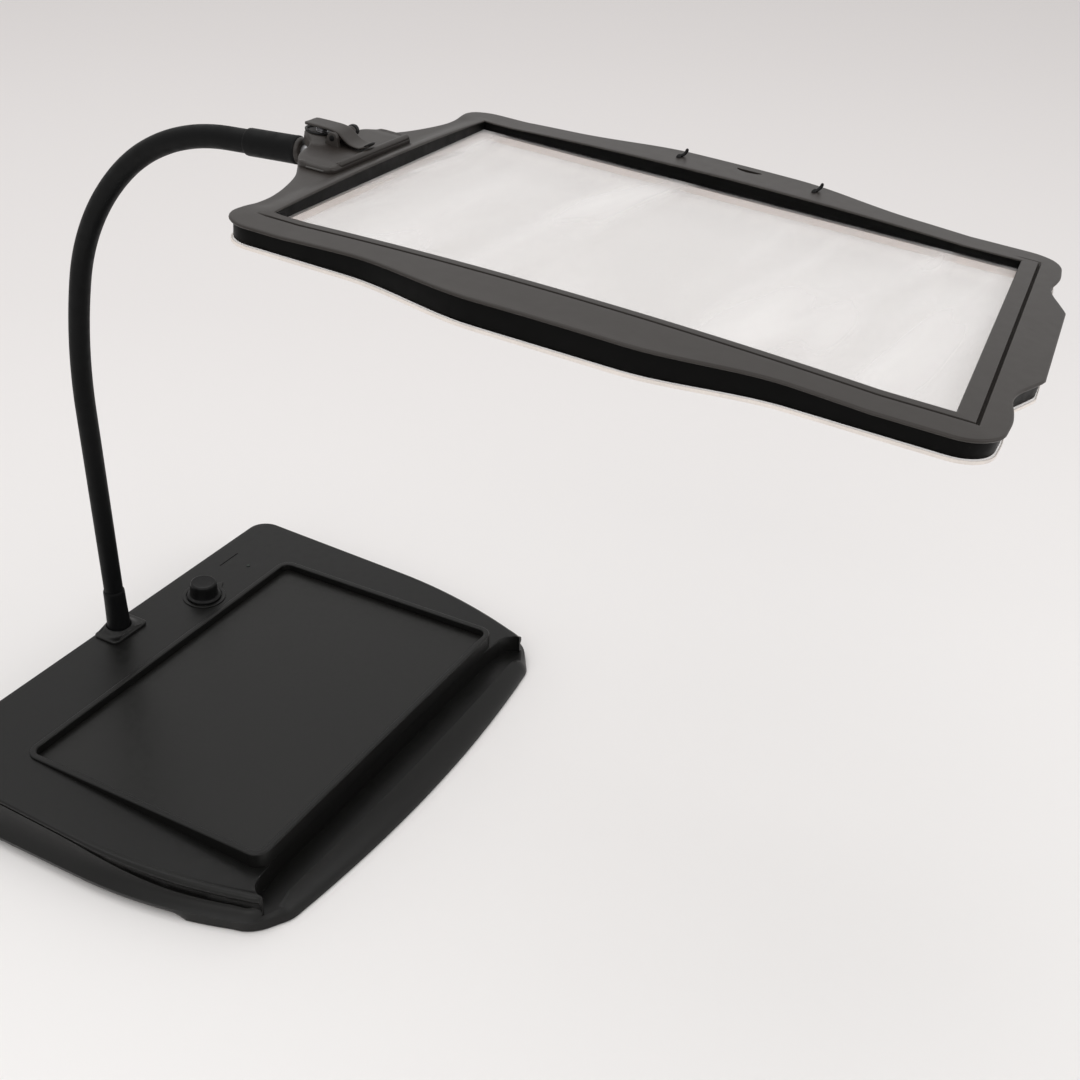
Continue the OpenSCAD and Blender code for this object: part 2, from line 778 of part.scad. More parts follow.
lane_x = 113.6;      // the leads' lanes in the light channel
lane_y = 6.3;
module lower_housing() {
    color([0.09, 0.09, 0.09]) in_head() difference() {
        union() {
            ring(housing_low, band_low - housing_low, 3, channel_in - 1.7);
        }
        // light channel between the outer and the inner wall
        difference() {
            translate([0, 0, housing_low - 1]) linear_extrude(1 - housing_low) difference() {
                frame_plan(5.2);
                opening_plan(channel_in);
            }
            at_head_screws() translate([0, 0, -20]) cylinder(r = 3, h = 40);
        }
        at_head_screws() translate([0, 0, -20]) cylinder(r = 1.05, h = 20.5);
        // corners of the channel eased for the leads
        for (s = [0, 1]) mirror([s, 0, 0]) translate([lane_x - 4, lane_y - 1.3, housing_low - 1])
            cube([5.3, 2.3, 1 - housing_low]);
        joint_room();
    }
}

module fresnel_lens() {
    color([0.9, 0.93, 0.95, 0.35]) in_head() translate([0, 0, -lens_t]) linear_extrude(lens_t)
        opening_plan(lens_edge);
}

module lens_gasket() {
    color([0.1, 0.1, 0.1]) in_head() rim_ring(housing_low, -housing_low - lens_t, lens_edge, 0.4);
}

module bottom_cover() {
    color([0.9, 0.9, 0.88, 0.4]) in_head() difference() {
        translate([0, 0, housing_low - cover_t]) linear_extrude(cover_t) frame_plan();
        at_head_screws() translate([0, 0, -20]) cylinder(r = 1.4, h = 40);
        joint_room();
    }
}

led_row_from = -262;
led_row_to = -30;
module led_board(s) {
    color([0.9, 0.9, 0.88]) in_head() translate([s * 117 - 3.5, led_row_from, -1.3])
        cube([7, led_row_to - led_row_from, 1.2]);
}

module led_board_left() {
    led_board(-1);
}

module led_board_right() {
    led_board(1);
}

module leds() {
    color([1, 0.95, 0.6]) in_head() for (s = [-1, 1], i = [0:11])
        translate([s * 117 - 1.5, led_row_from + 4 + i * 20, -2.3]) cube([3, 3, 1]);
}

module head_screws() {
    color([0.75, 0.75, 0.75]) in_head() at_head_screws() {
        translate([0, 0, housing_low - cover_t - 0.1]) cylinder(r = 1, h = 6.6);
    }
}

module accessory_hooks() {
    color([0.12, 0.12, 0.12]) in_head() for (y = hook_y) translate([hook_x, y, 2.2]) {
        cylinder(r = hook_r, h = hook_rise + lap, $fn = 24);
        translate([3, 0, hook_rise]) rotate([90, 0, 0]) rotate([0, 0, 60])
            rotate_extrude(angle = 120) translate([3, 0]) circle(hook_r - hair, $fn = 24);
    }
}

module head_harness() {
    depth = -2.6;
    color([0.7, 0.1, 0.1]) in_head() {
        lead([[0, 27, depth], [0, lane_y, depth], [lane_x, lane_y, depth], [lane_x, -28, depth]], 0.7);
        lead([[0, lane_y, depth], [-lane_x, lane_y, depth], [-lane_x, -28, depth]], 0.7);
    }
}

// --- bracket and latch ---
plate_top = 6.2;
plate_half = 41;
cup_top = 10.5;
cup_floor = 8.6;
cup_bore = 5.4;
pin_r = 1.5;
plate_front_y = 10;
ridge_r = 1.8;
ridge_x = [-31, 36];
ring_r = 9.2;        // outside of the ball's ring
latch = [29, 10.6];  // latch pin, [back, up] in the head's frame
hub_r = 2.9;
lever_half = 6.5;

module bracket_plate() {
    color([0.3, 0.29, 0.28]) in_head() difference() {
        union() {
            translate([-plate_half, plate_front_y, band_top]) linear_extrude(plate_top - band_top)
                rounded_rect(2 * plate_half, 30, 5);
            translate([ridge_x[0], plate_front_y + 2, plate_top]) rotate([0, 90, 0])
                cylinder(r = ridge_r, h = ridge_x[1] - ridge_x[0]);
            for (x = ridge_x) translate([x, plate_front_y + 2, plate_top]) sphere(ridge_r);
            translate(knuckle) ball_shell(ring_r, liner_r, 75);
            translate([0, knuckle[1], plate_top - 1])
                cylinder(r1 = cup_bore, r2 = cup_bore + 2, h = cup_top - plate_top + 1);
            for (s = [-1, 1]) translate([s * 8.3 - 1.3, latch[0] - 4, band_top + 1])
                cube([2.6, 8, latch[1] - band_top + 1.5]);
        }
        translate(knuckle) sphere(liner_r, $fn = 96);
        translate([0, knuckle[1], cup_floor]) cylinder(r = cup_bore, h = 10);
        translate([-20, latch[0], latch[1]]) rotate([0, 90, 0]) cylinder(r = pin_r, h = 40);
    }
}

module latch_pin() {
    color([0.6, 0.6, 0.62]) in_head() translate([-9.6, latch[0], latch[1]]) rotate([0, 90, 0]) {
        cylinder(r = pin_r, h = 20);
        translate([0, 0, 19.4]) cylinder(r = 2.4, h = 2.4);
    }
}

// profile is [back, up]; the rear end is pressed, the front end lifts
module latch_lever() {
    profile = [
        [47, 12.3], [47.4, 13.2], [46.6, 14.2], [31, 14.6], [26, 13.4], [21.5, 9.6],
        [15, 8.4], [13, 9.2], [12.2, 8.6], [14.4, 7], [22, 7.4], [26, 9.4], [33, 12.2]
    ];
    color([0.28, 0.27, 0.26]) in_head() difference() {
        union() {
            translate([-lever_half, 0, 0]) rotate([90, 0, 90])
                linear_extrude(2 * lever_half) polygon(profile);
            translate([-lever_half, latch[0], latch[1]]) rotate([0, 90, 0])
                cylinder(r = hub_r, h = 2 * lever_half);
        }
        translate([-20, latch[0], latch[1]]) rotate([0, 90, 0]) cylinder(r = pin_r + play, h = 40);
    }
}

module latch_spring() {
    color([0.8, 0.8, 0.8]) in_head() for (i = [0:3])
        translate([0, knuckle[1], cup_floor + 0.4 + i * 0.95])
            rotate_extrude() translate([2.6, 0]) circle(0.35, $fn = 16);
}

base_top();
base_bottom();
grip_pad();
ballast_plate();
ballast_screws();
base_screws();
tray_panel();
socket_pad();
neck_anchor();
anchor_washer();
anchor_nut();
neck_boot();
dial_ring();
dimmer_pot();
pot_nut();
control_board();
indicator_lens();
power_inlet();
base_harness();
neck_core_0();
neck_lead_0();
neck_core_1();
neck_lead_1();
flex_sleeve_low();
neck_core_2();
neck_lead_2();
neck_sleeve_2();
flex_sleeve_mid();
neck_core_3();
neck_lead_3();
neck_sleeve_3();
flex_sleeve_top();
neck_core_4();
neck_lead_4();
neck_sleeve_4();
neck_ferrule();
neck_collar();
swivel_ball();
ball_liner();
bracket_plate();
latch_pin();
latch_spring();
top_bezel();
lower_housing();
fresnel_lens();
lens_gasket();
bottom_cover();
led_board_left();
led_board_right();
leds();
head_screws();
accessory_hooks();
head_harness();
latch_lever();
dimmer_knob();
pot_shaft();
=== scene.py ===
import json
import math
import bmesh
import bpy
from mathutils import Matrix, Vector
from mathutils.geometry import delaunay_2d_cdt

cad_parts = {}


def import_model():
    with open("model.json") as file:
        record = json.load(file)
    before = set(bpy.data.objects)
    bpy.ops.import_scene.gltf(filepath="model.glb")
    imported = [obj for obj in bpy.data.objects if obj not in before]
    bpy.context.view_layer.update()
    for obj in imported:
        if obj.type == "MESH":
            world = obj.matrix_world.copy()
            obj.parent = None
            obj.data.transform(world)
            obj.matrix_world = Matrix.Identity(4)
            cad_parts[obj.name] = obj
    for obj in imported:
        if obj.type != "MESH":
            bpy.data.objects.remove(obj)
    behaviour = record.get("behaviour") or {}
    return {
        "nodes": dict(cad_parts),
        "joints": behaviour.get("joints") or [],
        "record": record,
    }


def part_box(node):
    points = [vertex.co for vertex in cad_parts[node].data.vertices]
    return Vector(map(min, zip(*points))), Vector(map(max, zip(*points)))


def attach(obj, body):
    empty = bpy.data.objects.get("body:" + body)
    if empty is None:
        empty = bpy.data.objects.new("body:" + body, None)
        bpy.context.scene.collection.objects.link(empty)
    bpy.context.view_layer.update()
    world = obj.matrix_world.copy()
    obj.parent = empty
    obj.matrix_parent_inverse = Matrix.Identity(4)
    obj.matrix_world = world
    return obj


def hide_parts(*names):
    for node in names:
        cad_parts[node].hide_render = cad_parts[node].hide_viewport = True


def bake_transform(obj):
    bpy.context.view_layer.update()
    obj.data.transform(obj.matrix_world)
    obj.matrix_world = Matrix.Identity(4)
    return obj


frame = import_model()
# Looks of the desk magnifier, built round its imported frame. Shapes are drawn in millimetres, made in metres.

MM = 0.001
scene = bpy.context.scene
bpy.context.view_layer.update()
joints = {j["name"]: j for j in frame["joints"]}


# --- numbers and curves ---
def clamp01(t):
    return min(1.0, max(0.0, t))


def smooth01(t):
    t = clamp01(t)
    return t * t * (3 - 2 * t)


def mix(a, b, t):
    return a + (b - a) * t


def arc(cx, cy, r, a0, a1, n, ry=None):
    ry = r if ry is None else ry
    turns = [math.radians(a0 + (a1 - a0) * i / n) for i in range(n + 1)]
    return [(cx + r * math.cos(t), cy + ry * math.sin(t)) for t in turns]


def resample(points, n):
    """n + 1 points evenly spaced along an open polyline."""
    at = [0.0]
    for a, b in zip(points, points[1:]):
        at.append(at[-1] + math.dist(a, b))
    out, k = [], 0
    for i in range(n + 1):
        d = at[-1] * i / n
        while k < len(at) - 2 and at[k + 1] < d:
            k += 1
        span = at[k + 1] - at[k]
        t = 0 if span == 0 else (d - at[k]) / span
        out.append(tuple(mix(p, q, t) for p, q in zip(points[k], points[k + 1])))
    return out


def curve_through(points, per=8):
    """A smooth open curve through the points."""
    pts = [Vector(p) for p in points]
    ends = [2 * pts[0] - pts[1]] + pts + [2 * pts[-1] - pts[-2]]
    out = []
    for i in range(1, len(ends) - 2):
        a, b, c, d = ends[i - 1], ends[i], ends[i + 1], ends[i + 2]
        for k in range(per):
            t = k / per
            out.append(0.5 * (2 * b + (c - a) * t + (2 * a - 5 * b + 4 * c - d) * t * t
                              + (3 * b - a - 3 * c + d) * t ** 3))
    out.append(pts[-1])
    return [tuple(p) for p in out]


def area(loop):
    return sum(a[0] * b[1] - b[0] * a[1] for a, b in zip(loop, loop[1:] + loop[:1])) / 2


def offset(loop, d):
    """The closed loop drawn in by d, or let out where d is below zero."""
    side = 1 if area(loop) > 0 else -1
    out = []
    for i, p in enumerate(loop):
        a, b = Vector(loop[i - 1]), Vector(loop[(i + 1) % len(loop)])
        p = Vector(p)
        t0, t1 = (p - a).normalized(), (b - p).normalized()
        n0, n1 = Vector((-t0.y, t0.x)) * side, Vector((-t1.y, t1.x)) * side
        q = p + (n0 + n1) * d / max(0.35, 1 + n0.dot(n1))
        out.append((q.x, q.y))
    return out


def inside(p, loop):
    hit = False
    for a, b in zip(loop, loop[1:] + loop[:1]):
        if (a[1] > p[1]) != (b[1] > p[1]) and p[0] < (b[0] - a[0]) * (p[1] - a[1]) / (b[1] - a[1]) + a[0]:
            hit = not hit
    return hit


def rounded(x0, y0, x1, y1, r, n=8):
    return (arc(x1 - r, y1 - r, r, 0, 90, n) + arc(x0 + r, y1 - r, r, 90, 180, n)
            + arc(x0 + r, y0 + r, r, 180, 270, n) + arc(x1 - r, y0 + r, r, 270, 360, n))


# --- meshes ---
class Skin:
    """A mesh put together from rings of points, bridged and filled."""

    def __init__(self):
        self.v, self.f = [], []

    def ring(self, points, z=None):
        start = len(self.v)
        for p in points:
            if z is None:
                self.v.append(tuple(p))
            else:
                self.v.append((p[0], p[1], z(p[0], p[1]) if callable(z) else z))
        return list(range(start, len(self.v)))

    def bridge(self, a, b, closed=True):
        for i in range(len(a) if closed else len(a) - 1):
            j = (i + 1) % len(a)
            self.f.append((a[i], a[j], b[j], b[i]))

    def tube(self, rings, closed=True):
        for a, b in zip(rings, rings[1:]):
            self.bridge(a, b, closed)

    def fan(self, ring, centre):
        self.v.append(tuple(centre))
        for i in range(len(ring)):
            self.f.append((ring[i], ring[(i + 1) % len(ring)], len(self.v) - 1))

    def fill(self, rings, z=None, step=None):
        """Fills between the outer ring and the holes after it, with a grid of points inside where step is given."""
        loops = [[self.v[i][:2] for i in r] for r in rings]
        ids = [i for r in rings for i in r]
        pts = [Vector(p) for loop in loops for p in loop]
        edges, k = [], 0
        for loop in loops:
            edges += [(k + i, k + (i + 1) % len(loop)) for i in range(len(loop))]
            k += len(loop)
        if step:
            xs, ys = [p[0] for p in loops[0]], [p[1] for p in loops[0]]
            x = min(xs) + step / 2
            while x < max(xs):
                y = min(ys) + step / 2
                while y < max(ys):
                    p = (x, y)
                    near = any((Vector(p) - Vector(q)).length < step * 0.6 for loop in loops for q in loop)
                    if not near and inside(p, loops[0]) and not any(inside(p, h) for h in loops[1:]):
                        pts.append(Vector(p))
                        ids.append(len(self.v))
                        self.v.append((x, y, z(x, y)))
                    y += step
                x += step
        spots, _, tris, orig, _, _ = delaunay_2d_cdt(pts, edges, [], 0, 1e-5)
        use = []
        for p, o in zip(spots, orig):
            if o:
                use.append(ids[o[0]])
            else:
                near = min(ids, key=lambda i: (Vector(self.v[i][:2]) - p).length)
                self.v.append((p.x, p.y, self.v[near][2]))
                use.append(len(self.v) - 1)
        for t in tris:
            c = sum((spots[i] for i in t), Vector((0, 0))) / 3
            if inside(c, loops[0]) and not any(inside(c, h) for h in loops[1:]):
                self.f.append(tuple(use[i] for i in t))

    def lathe(self, profile, sides=64, at=(0, 0)):
        """Turns (radius, height) round a vertical axis; an end on the axis closes to a point."""
        rings = []
        for r, z in profile:
            if r > 1e-6:
                turn = [2 * math.pi * i / sides for i in range(sides)]
                rings.append(self.ring([(at[0] + r * math.cos(t), at[1] + r * math.sin(t), z) for t in turn]))
        self.tube(rings)
        if profile[0][0] <= 1e-6:
            self.fan(rings[0], (*at, profile[0][1]))
        if profile[-1][0] <= 1e-6:
            self.fan(rings[-1], (*at, profile[-1][1]))
        return rings


def rounded_edge(r, n=4):
    """(drawn in, down) along a quarter round, from the top face to the side."""
    return [(r * (1 - math.sin(t)), r * (1 - math.cos(t)))
            for t in (math.pi / 2 * i / n for i in range(n + 1))]


def plate(outer, holes, top, low, r_top=0.8, r_low=0.4, step=None):
    """A flat or crowned plate with rounded edges; top is a height or a function of x and y."""
    skin = Skin()
    high = top if callable(top) else (lambda x, y: top)

    def wall(loop, sign):
        rings = []
        for d, down in rounded_edge(r_top):
            line = offset(loop, d * sign)
            rings.append(skin.ring(line, lambda x, y, down=down: high(x, y) - down))
        for d, up in reversed(rounded_edge(r_low)):
            rings.append(skin.ring(offset(loop, d * sign), low + up))
        skin.tube(rings)
        return rings

    walls = [wall(outer, 1)] + [wall(h, -1) for h in holes]
    skin.fill([w[0] for w in walls], high, step)
    skin.fill([w[-1] for w in walls])
    return skin


def make(name, skin, material, body, matrix=None, stands_for=(), sharp=38, ride=True):
    mesh = bpy.data.meshes.new(name)
    mesh.from_pydata([Vector(p) * MM for p in skin.v], [], skin.f)
    bm = bmesh.new()
    bm.from_mesh(mesh)
    bmesh.ops.remove_doubles(bm, verts=bm.verts, dist=2e-6)
    bmesh.ops.recalc_face_normals(bm, faces=bm.faces)
    for f in bm.faces:
        f.smooth = True
    bm.to_mesh(mesh)
    bm.free()
    if matrix is not None:
        mesh.transform(matrix)
    mesh.set_sharp_from_angle(angle=math.radians(sharp))
    mesh.materials.append(material)
    obj = bpy.data.objects.new(name, mesh)
    scene.collection.objects.link(obj)
    if ride:
        finish_piece(obj, body, stands_for)
    return obj


def finish_piece(obj, body, stands_for=()):
    if body:
        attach(obj, body)
    if stands_for:
        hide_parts(*stands_for)


# --- materials ---
def surface(name, colour, tone=0.25, rough=0.45, rough_by=0.08, grain=1400.0, bump=0.12, patch=18.0,
            edge_wear_and_highlight=0.0, metal=0.0, spec=0.5, coat=0.0, stretch=(1, 1, 1)):
    """Moulded plastic, rubber or metal: soft tone patches, fine grain, and paler edges, partly rubbed wear and
    partly a painted highlight where light catches the rounded edges.
    """
    m = bpy.data.materials.new(name)
    m.use_nodes = True
    nt = m.node_tree
    n, link = nt.nodes, nt.links.new
    bsdf = n["Principled BSDF"]
    bsdf.inputs["Metallic"].default_value = metal
    bsdf.inputs["Specular IOR Level"].default_value = spec
    bsdf.inputs["Coat Weight"].default_value = coat
    coord = n.new("ShaderNodeTexCoord")
    space = n.new("ShaderNodeMapping")
    space.inputs["Scale"].default_value = stretch
    link(coord.outputs["Object"], space.inputs["Vector"])

    def noise(scale, detail, distortion=0.0):
        t = n.new("ShaderNodeTexNoise")
        t.inputs["Scale"].default_value = scale
        t.inputs["Detail"].default_value = detail
        t.inputs["Distortion"].default_value = distortion
        link(space.outputs["Vector"], t.inputs["Vector"])
        return t.outputs["Fac"]

    soft = noise(patch, 4.0, 0.4)
    fine = noise(grain, 3.0)
    mid = noise(grain * 0.12, 5.0)
    ramp = n.new("ShaderNodeValToRGB")
    low = [c * (1 - tone) for c in colour]
    high = [min(1.0, c * (1 + tone)) for c in colour]
    ramp.color_ramp.elements[0].position, ramp.color_ramp.elements[1].position = 0.34, 0.68
    ramp.color_ramp.elements[0].color = (*low, 1)
    ramp.color_ramp.elements[1].color = (*high, 1)
    both = n.new("ShaderNodeMath")
    both.operation = "MULTIPLY_ADD"
    both.inputs[1].default_value = 0.35
    link(fine, both.inputs[0])
    scaled = n.new("ShaderNodeMath")
    scaled.operation = "MULTIPLY"
    scaled.inputs[1].default_value = 0.65
    link(soft, scaled.inputs[0])
    link(scaled.outputs[0], both.inputs[2])
    link(both.outputs[0], ramp.inputs["Fac"])
    base = ramp.outputs["Color"]
    # paler colour on sharp edges by pointiness: partly wear, partly a painted highlight standing in for light on
    # rounded edges
    if edge_wear_and_highlight:
        geo = n.new("ShaderNodeNewGeometry")
        edge = n.new("ShaderNodeMapRange")
        edge.inputs["From Min"].default_value, edge.inputs["From Max"].default_value = 0.53, 0.62
        edge.inputs["To Max"].default_value = edge_wear_and_highlight
        link(geo.outputs["Pointiness"], edge.inputs["Value"])
        blend = n.new("ShaderNodeMixRGB")
        blend.inputs["Color2"].default_value = (*[min(1.0, c * 2.2 + 0.05) for c in colour], 1)
        link(edge.outputs["Result"], blend.inputs["Fac"])
        link(base, blend.inputs["Color1"])
        base = blend.outputs["Color"]
    link(base, bsdf.inputs["Base Color"])
    span = n.new("ShaderNodeMapRange")
    span.inputs["To Min"].default_value, span.inputs["To Max"].default_value = rough - rough_by, rough + rough_by
    span.inputs["From Min"].default_value, span.inputs["From Max"].default_value = 0.3, 0.7
    link(mid, span.inputs["Value"])
    link(span.outputs["Result"], bsdf.inputs["Roughness"])
    if bump:
        b = n.new("ShaderNodeBump")
        b.inputs["Strength"].default_value = bump
        b.inputs["Distance"].default_value = 0.0002
        link(fine, b.inputs["Height"])
        link(b.outputs["Normal"], bsdf.inputs["Normal"])
    return m


def clear_sheet(name, colour, alpha, rough, wave, reflection_streak):
    """Clear moulded sheet with a faint milky veil and long soft streaks; the streaks are painted reflections, noise
    bands where the sheet is made whiter and more opaque in place of reflected lights.
    """
    m = bpy.data.materials.new(name)
    m.use_nodes = True
    n, link = m.node_tree.nodes, m.node_tree.links.new
    bsdf = n["Principled BSDF"]
    bsdf.inputs["IOR"].default_value = 1.49
    bsdf.inputs["Specular IOR Level"].default_value = 0.6
    coord = n.new("ShaderNodeTexCoord")
    space = n.new("ShaderNodeMapping")
    space.inputs["Rotation"].default_value = (0, 0, 0.5)
    space.inputs["Scale"].default_value = (1.0, 5.5, 1.0)
    link(coord.outputs["Object"], space.inputs["Vector"])
    # this noise lays out the painted reflection streaks, whiter colour and higher alpha along long bands
    streak_and_veil_noise = n.new("ShaderNodeTexNoise")
    streak_and_veil_noise.inputs["Scale"].default_value = 5.0
    streak_and_veil_noise.inputs["Detail"].default_value = 1.2
    streak_and_veil_noise.inputs["Distortion"].default_value = 0.35
    link(space.outputs["Vector"], streak_and_veil_noise.inputs["Vector"])
    ramp = n.new("ShaderNodeValToRGB")
    ramp.color_ramp.elements[0].position, ramp.color_ramp.elements[1].position = 0.35, 0.72
    ramp.color_ramp.elements[0].color = (*[c * 0.86 for c in colour], 1)
    ramp.color_ramp.elements[1].color = (*colour, 1)
    link(streak_and_veil_noise.outputs["Fac"], ramp.inputs["Fac"])
    link(ramp.outputs["Color"], bsdf.inputs["Base Color"])
    # painted reflection: alpha raised by the streak amount where the noise is high
    streak_alpha = n.new("ShaderNodeMapRange")
    streak_alpha.inputs["From Min"].default_value, streak_alpha.inputs["From Max"].default_value = 0.45, 0.75
    streak_alpha.inputs["To Min"].default_value, streak_alpha.inputs["To Max"].default_value = alpha, alpha + reflection_streak
    link(streak_and_veil_noise.outputs["Fac"], streak_alpha.inputs["Value"])
    link(streak_alpha.outputs["Result"], bsdf.inputs["Alpha"])
    span = n.new("ShaderNodeMapRange")
    span.inputs["To Min"].default_value, span.inputs["To Max"].default_value = rough, rough + 0.08
    link(streak_and_veil_noise.outputs["Fac"], span.inputs["Value"])
    link(span.outputs["Result"], bsdf.inputs["Roughness"])
    ripple = n.new("ShaderNodeTexNoise")
    ripple.inputs["Scale"].default_value = 16.0
    ripple.inputs["Detail"].default_value = 1.0
    link(space.outputs["Vector"], ripple.inputs["Vector"])
    b = n.new("ShaderNodeBump")
    b.inputs["Strength"].default_value = wave
    b.inputs["Distance"].default_value = 0.004
    link(ripple.outputs["Fac"], b.inputs["Height"])
    link(b.outputs["Normal"], bsdf.inputs["Normal"])
    return m


SLOTS = {
    "base_black": surface("base_plastic", (0.0036, 0.0036, 0.0033), tone=0.12, rough=0.37, rough_by=0.05,
                          edge_wear_and_highlight=0.12, bump=0.13, spec=0.29),
    "panel_black": surface("tray_plastic", (0.004, 0.004, 0.0034), tone=0.1, rough=0.34, rough_by=0.05,
                           grain=2200, bump=0.08, spec=0.33),
    "grip_rubber": surface("grip_rubber", (0.016, 0.016, 0.017), rough=0.7, grain=900, bump=0.3, spec=0.25),
    "steel_zinc": surface("zinc_steel", (0.52, 0.52, 0.54), tone=0.12, rough=0.34, metal=1.0, grain=700,
                          bump=0.06),
    "sleeve_black": surface("sleeve_rubber", (0.0028, 0.003, 0.0032), rough=0.5, grain=1800, bump=0.14,
                            spec=0.12),
    "knob_black": surface("knob_plastic", (0.0032, 0.0032, 0.0034), rough=0.36, edge_wear_and_highlight=0.15, bump=0.1,
                          spec=0.18),
    "board_green": surface("board_green", (0.012, 0.075, 0.03), rough=0.4, patch=60),
    "led_lens": surface("signal_lens", (0.006, 0.012, 0.008), rough=0.25, bump=0.02, spec=0.3),
    "lead_red": surface("lead_red", (0.4, 0.02, 0.015), rough=0.45, bump=0.05),
    "core_steel": surface("core_steel", (0.34, 0.34, 0.35), tone=0.15, rough=0.4, metal=1.0, grain=500),
    "frame_black": surface("frame_plastic", (0.023, 0.0188, 0.016), tone=0.035, rough=0.42, rough_by=0.015,
                           edge_wear_and_highlight=0.1, bump=0.1, spec=0.4),
    "skirt_black": surface("skirt_plastic", (0.0014, 0.0014, 0.0013), rough=0.46, bump=0.12, spec=0.07),
    "gasket_foam": surface("gasket_foam", (0.78, 0.7, 0.66), tone=0.06, rough=0.8, grain=700, bump=0.3,
                           spec=0.2),
    "white_board": surface("board_white", (0.78, 0.78, 0.76), tone=0.05, rough=0.42, patch=50),
    "led_white": surface("led_body", (0.85, 0.8, 0.55), tone=0.08, rough=0.3, bump=0.03),
    "liner_nylon": surface("liner_nylon", (0.7, 0.69, 0.64), tone=0.08, rough=0.48, bump=0.06),
    "lens_clear": clear_sheet("lens_sheet", (0.93, 0.915, 0.91), 0.16, 0.05, 0.3, 0.42),
    "cover_clear": clear_sheet("cover_sheet", (0.86, 0.83, 0.81), 0.22, 0.12, 0.15, 0.12),
}
M = SLOTS
EDGE = surface("cover_cut_edge", (0.8, 0.74, 0.69), tone=0.1, rough=0.3, bump=0.03, patch=40)
PALE = surface("bracket_band", (0.085, 0.082, 0.078), tone=0.12, rough=0.5)
for part in frame["record"]["subparts"]:
    spot = frame["nodes"][part.get("node") or part["name"]]
    spot.data.materials.clear()
    spot.data.materials.append(SLOTS[part.get("material_slot") or part["slot"]])
    for face in spot.data.polygons:
        face.use_smooth = True
    spot.data.set_sharp_from_angle(angle=math.radians(32))

# --- places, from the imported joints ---
def at(name):
    return Vector(joints[name]["pos_m"]) / MM


hinge = Vector(joints["neck_mid_bend"]["axis"]).normalized()
ahead = Vector((hinge.y, -hinge.x, 0))
NECK = Vector((at("neck_side_lean").x, at("neck_side_lean").y, 0))
K = at("head_tilt")
x_h = -Vector(joints["head_tilt"]["axis"]).normalized()
v = at("latch_press") - K
a_, b_ = -10.9, 12.15
y_h = ((a_ * v - b_ * x_h.cross(v)) / (a_ * a_ + b_ * b_)).normalized()
z_h = x_h.cross(y_h)
O_h = K - 39.9 * y_h + 1.55 * z_h
HEAD = Matrix.Translation(O_h * MM) @ Matrix((x_h, y_h, z_h)).transposed().to_4x4()
kx = at("dimmer_turn")
up_k = Vector(joints["dimmer_turn"]["axis"]).normalized()
KNOB = Matrix.Translation(kx * MM) @ Matrix((Vector((1, 0, 0)), up_k.cross(Vector((1, 0, 0))),
                                             up_k)).transposed().to_4x4()

# --- base shell: skirt and lip, deck body and tray block joined, then carved ---
def deck_z(y):
    return 31 + (y - 123) * math.tan(math.radians(2.86))


def base_side_x(y):
    return 160.0 if y > 0 else 160 - y * y / 604


def base_front_y(x):
    return -127.4 + x * x / 1862


def solid(name, skin):
    """A closed mesh in metres for joining and carving."""
    mesh = bpy.data.meshes.new(name)
    mesh.from_pydata([Vector(p) * MM for p in skin.v], [], skin.f)
    bm = bmesh.new()
    bm.from_mesh(mesh)
    bmesh.ops.remove_doubles(bm, verts=bm.verts, dist=2e-6)
    bmesh.ops.recalc_face_normals(bm, faces=bm.faces)
    bm.to_mesh(mesh)
    bm.free()
    obj = bpy.data.objects.new(name, mesh)
    scene.collection.objects.link(obj)
    return obj


def carve(obj, other, how):
    step = obj.modifiers.new("step", "BOOLEAN")
    step.operation, step.solver, step.object = how, "EXACT", other
    done = bpy.data.meshes.new_from_object(obj.evaluated_get(bpy.context.evaluated_depsgraph_get()))
    obj.modifiers.clear()
    obj.data = done
    bpy.data.objects.remove(other)


def prism(loop, z0, z1):
    skin = Skin()
    rings = [skin.ring(loop, z0), skin.ring(loop, z1)]
    skin.tube(rings)
    skin.fill([rings[0]])
    skin.fill([rings[1]])
    return skin


def lofted(loops):
    """Closed loft through (loop, height) pairs."""
    skin = Skin()
    rings = [skin.ring(loop, z) for loop, z in loops]
    skin.tube(rings)
    skin.fill([rings[0]])
    skin.fill([rings[-1]])
    return skin


def closed_half(half):
    return half + [(-x, y) for x, y in half[-2:0:-1]]


def bezier(a, b, c, n):
    return [tuple(mix(mix(p, q, t), mix(q, r, t), t) for p, q, r in zip(a, b, c))
            for t in (i / n for i in range(n + 1))]


half = [(146.0 * i / 14, 127.0) for i in range(14)] + arc(146, 113, 14, 90, 0, 12)
half += [(160.0, 113 - 113 * i / 12) for i in range(1, 12)] + [(base_side_x(-y), -y) for y in range(0, 96, 4)]
half += bezier((base_side_x(-96), -96), (base_side_x(-114) + 1, base_front_y(124) + 1),
               (124, base_front_y(124)), 16)
half += [(124 * (1 - i / 26), base_front_y(124 * (1 - i / 26))) for i in range(1, 27)]
BASE = closed_half(half)


def normals(loop):
    side, out = (1 if area(loop) > 0 else -1), []
    for i in range(len(loop)):
        t = (Vector(loop[(i + 1) % len(loop)]) - Vector(loop[i - 1])).normalized()
        out.append(Vector((t.y, -t.x)) * side)
    return out


NORMAL = normals(BASE)


def wall_top(y):
    return deck_z(y) - (3.2 + 5.5 * smooth01((20 - y) / 80))


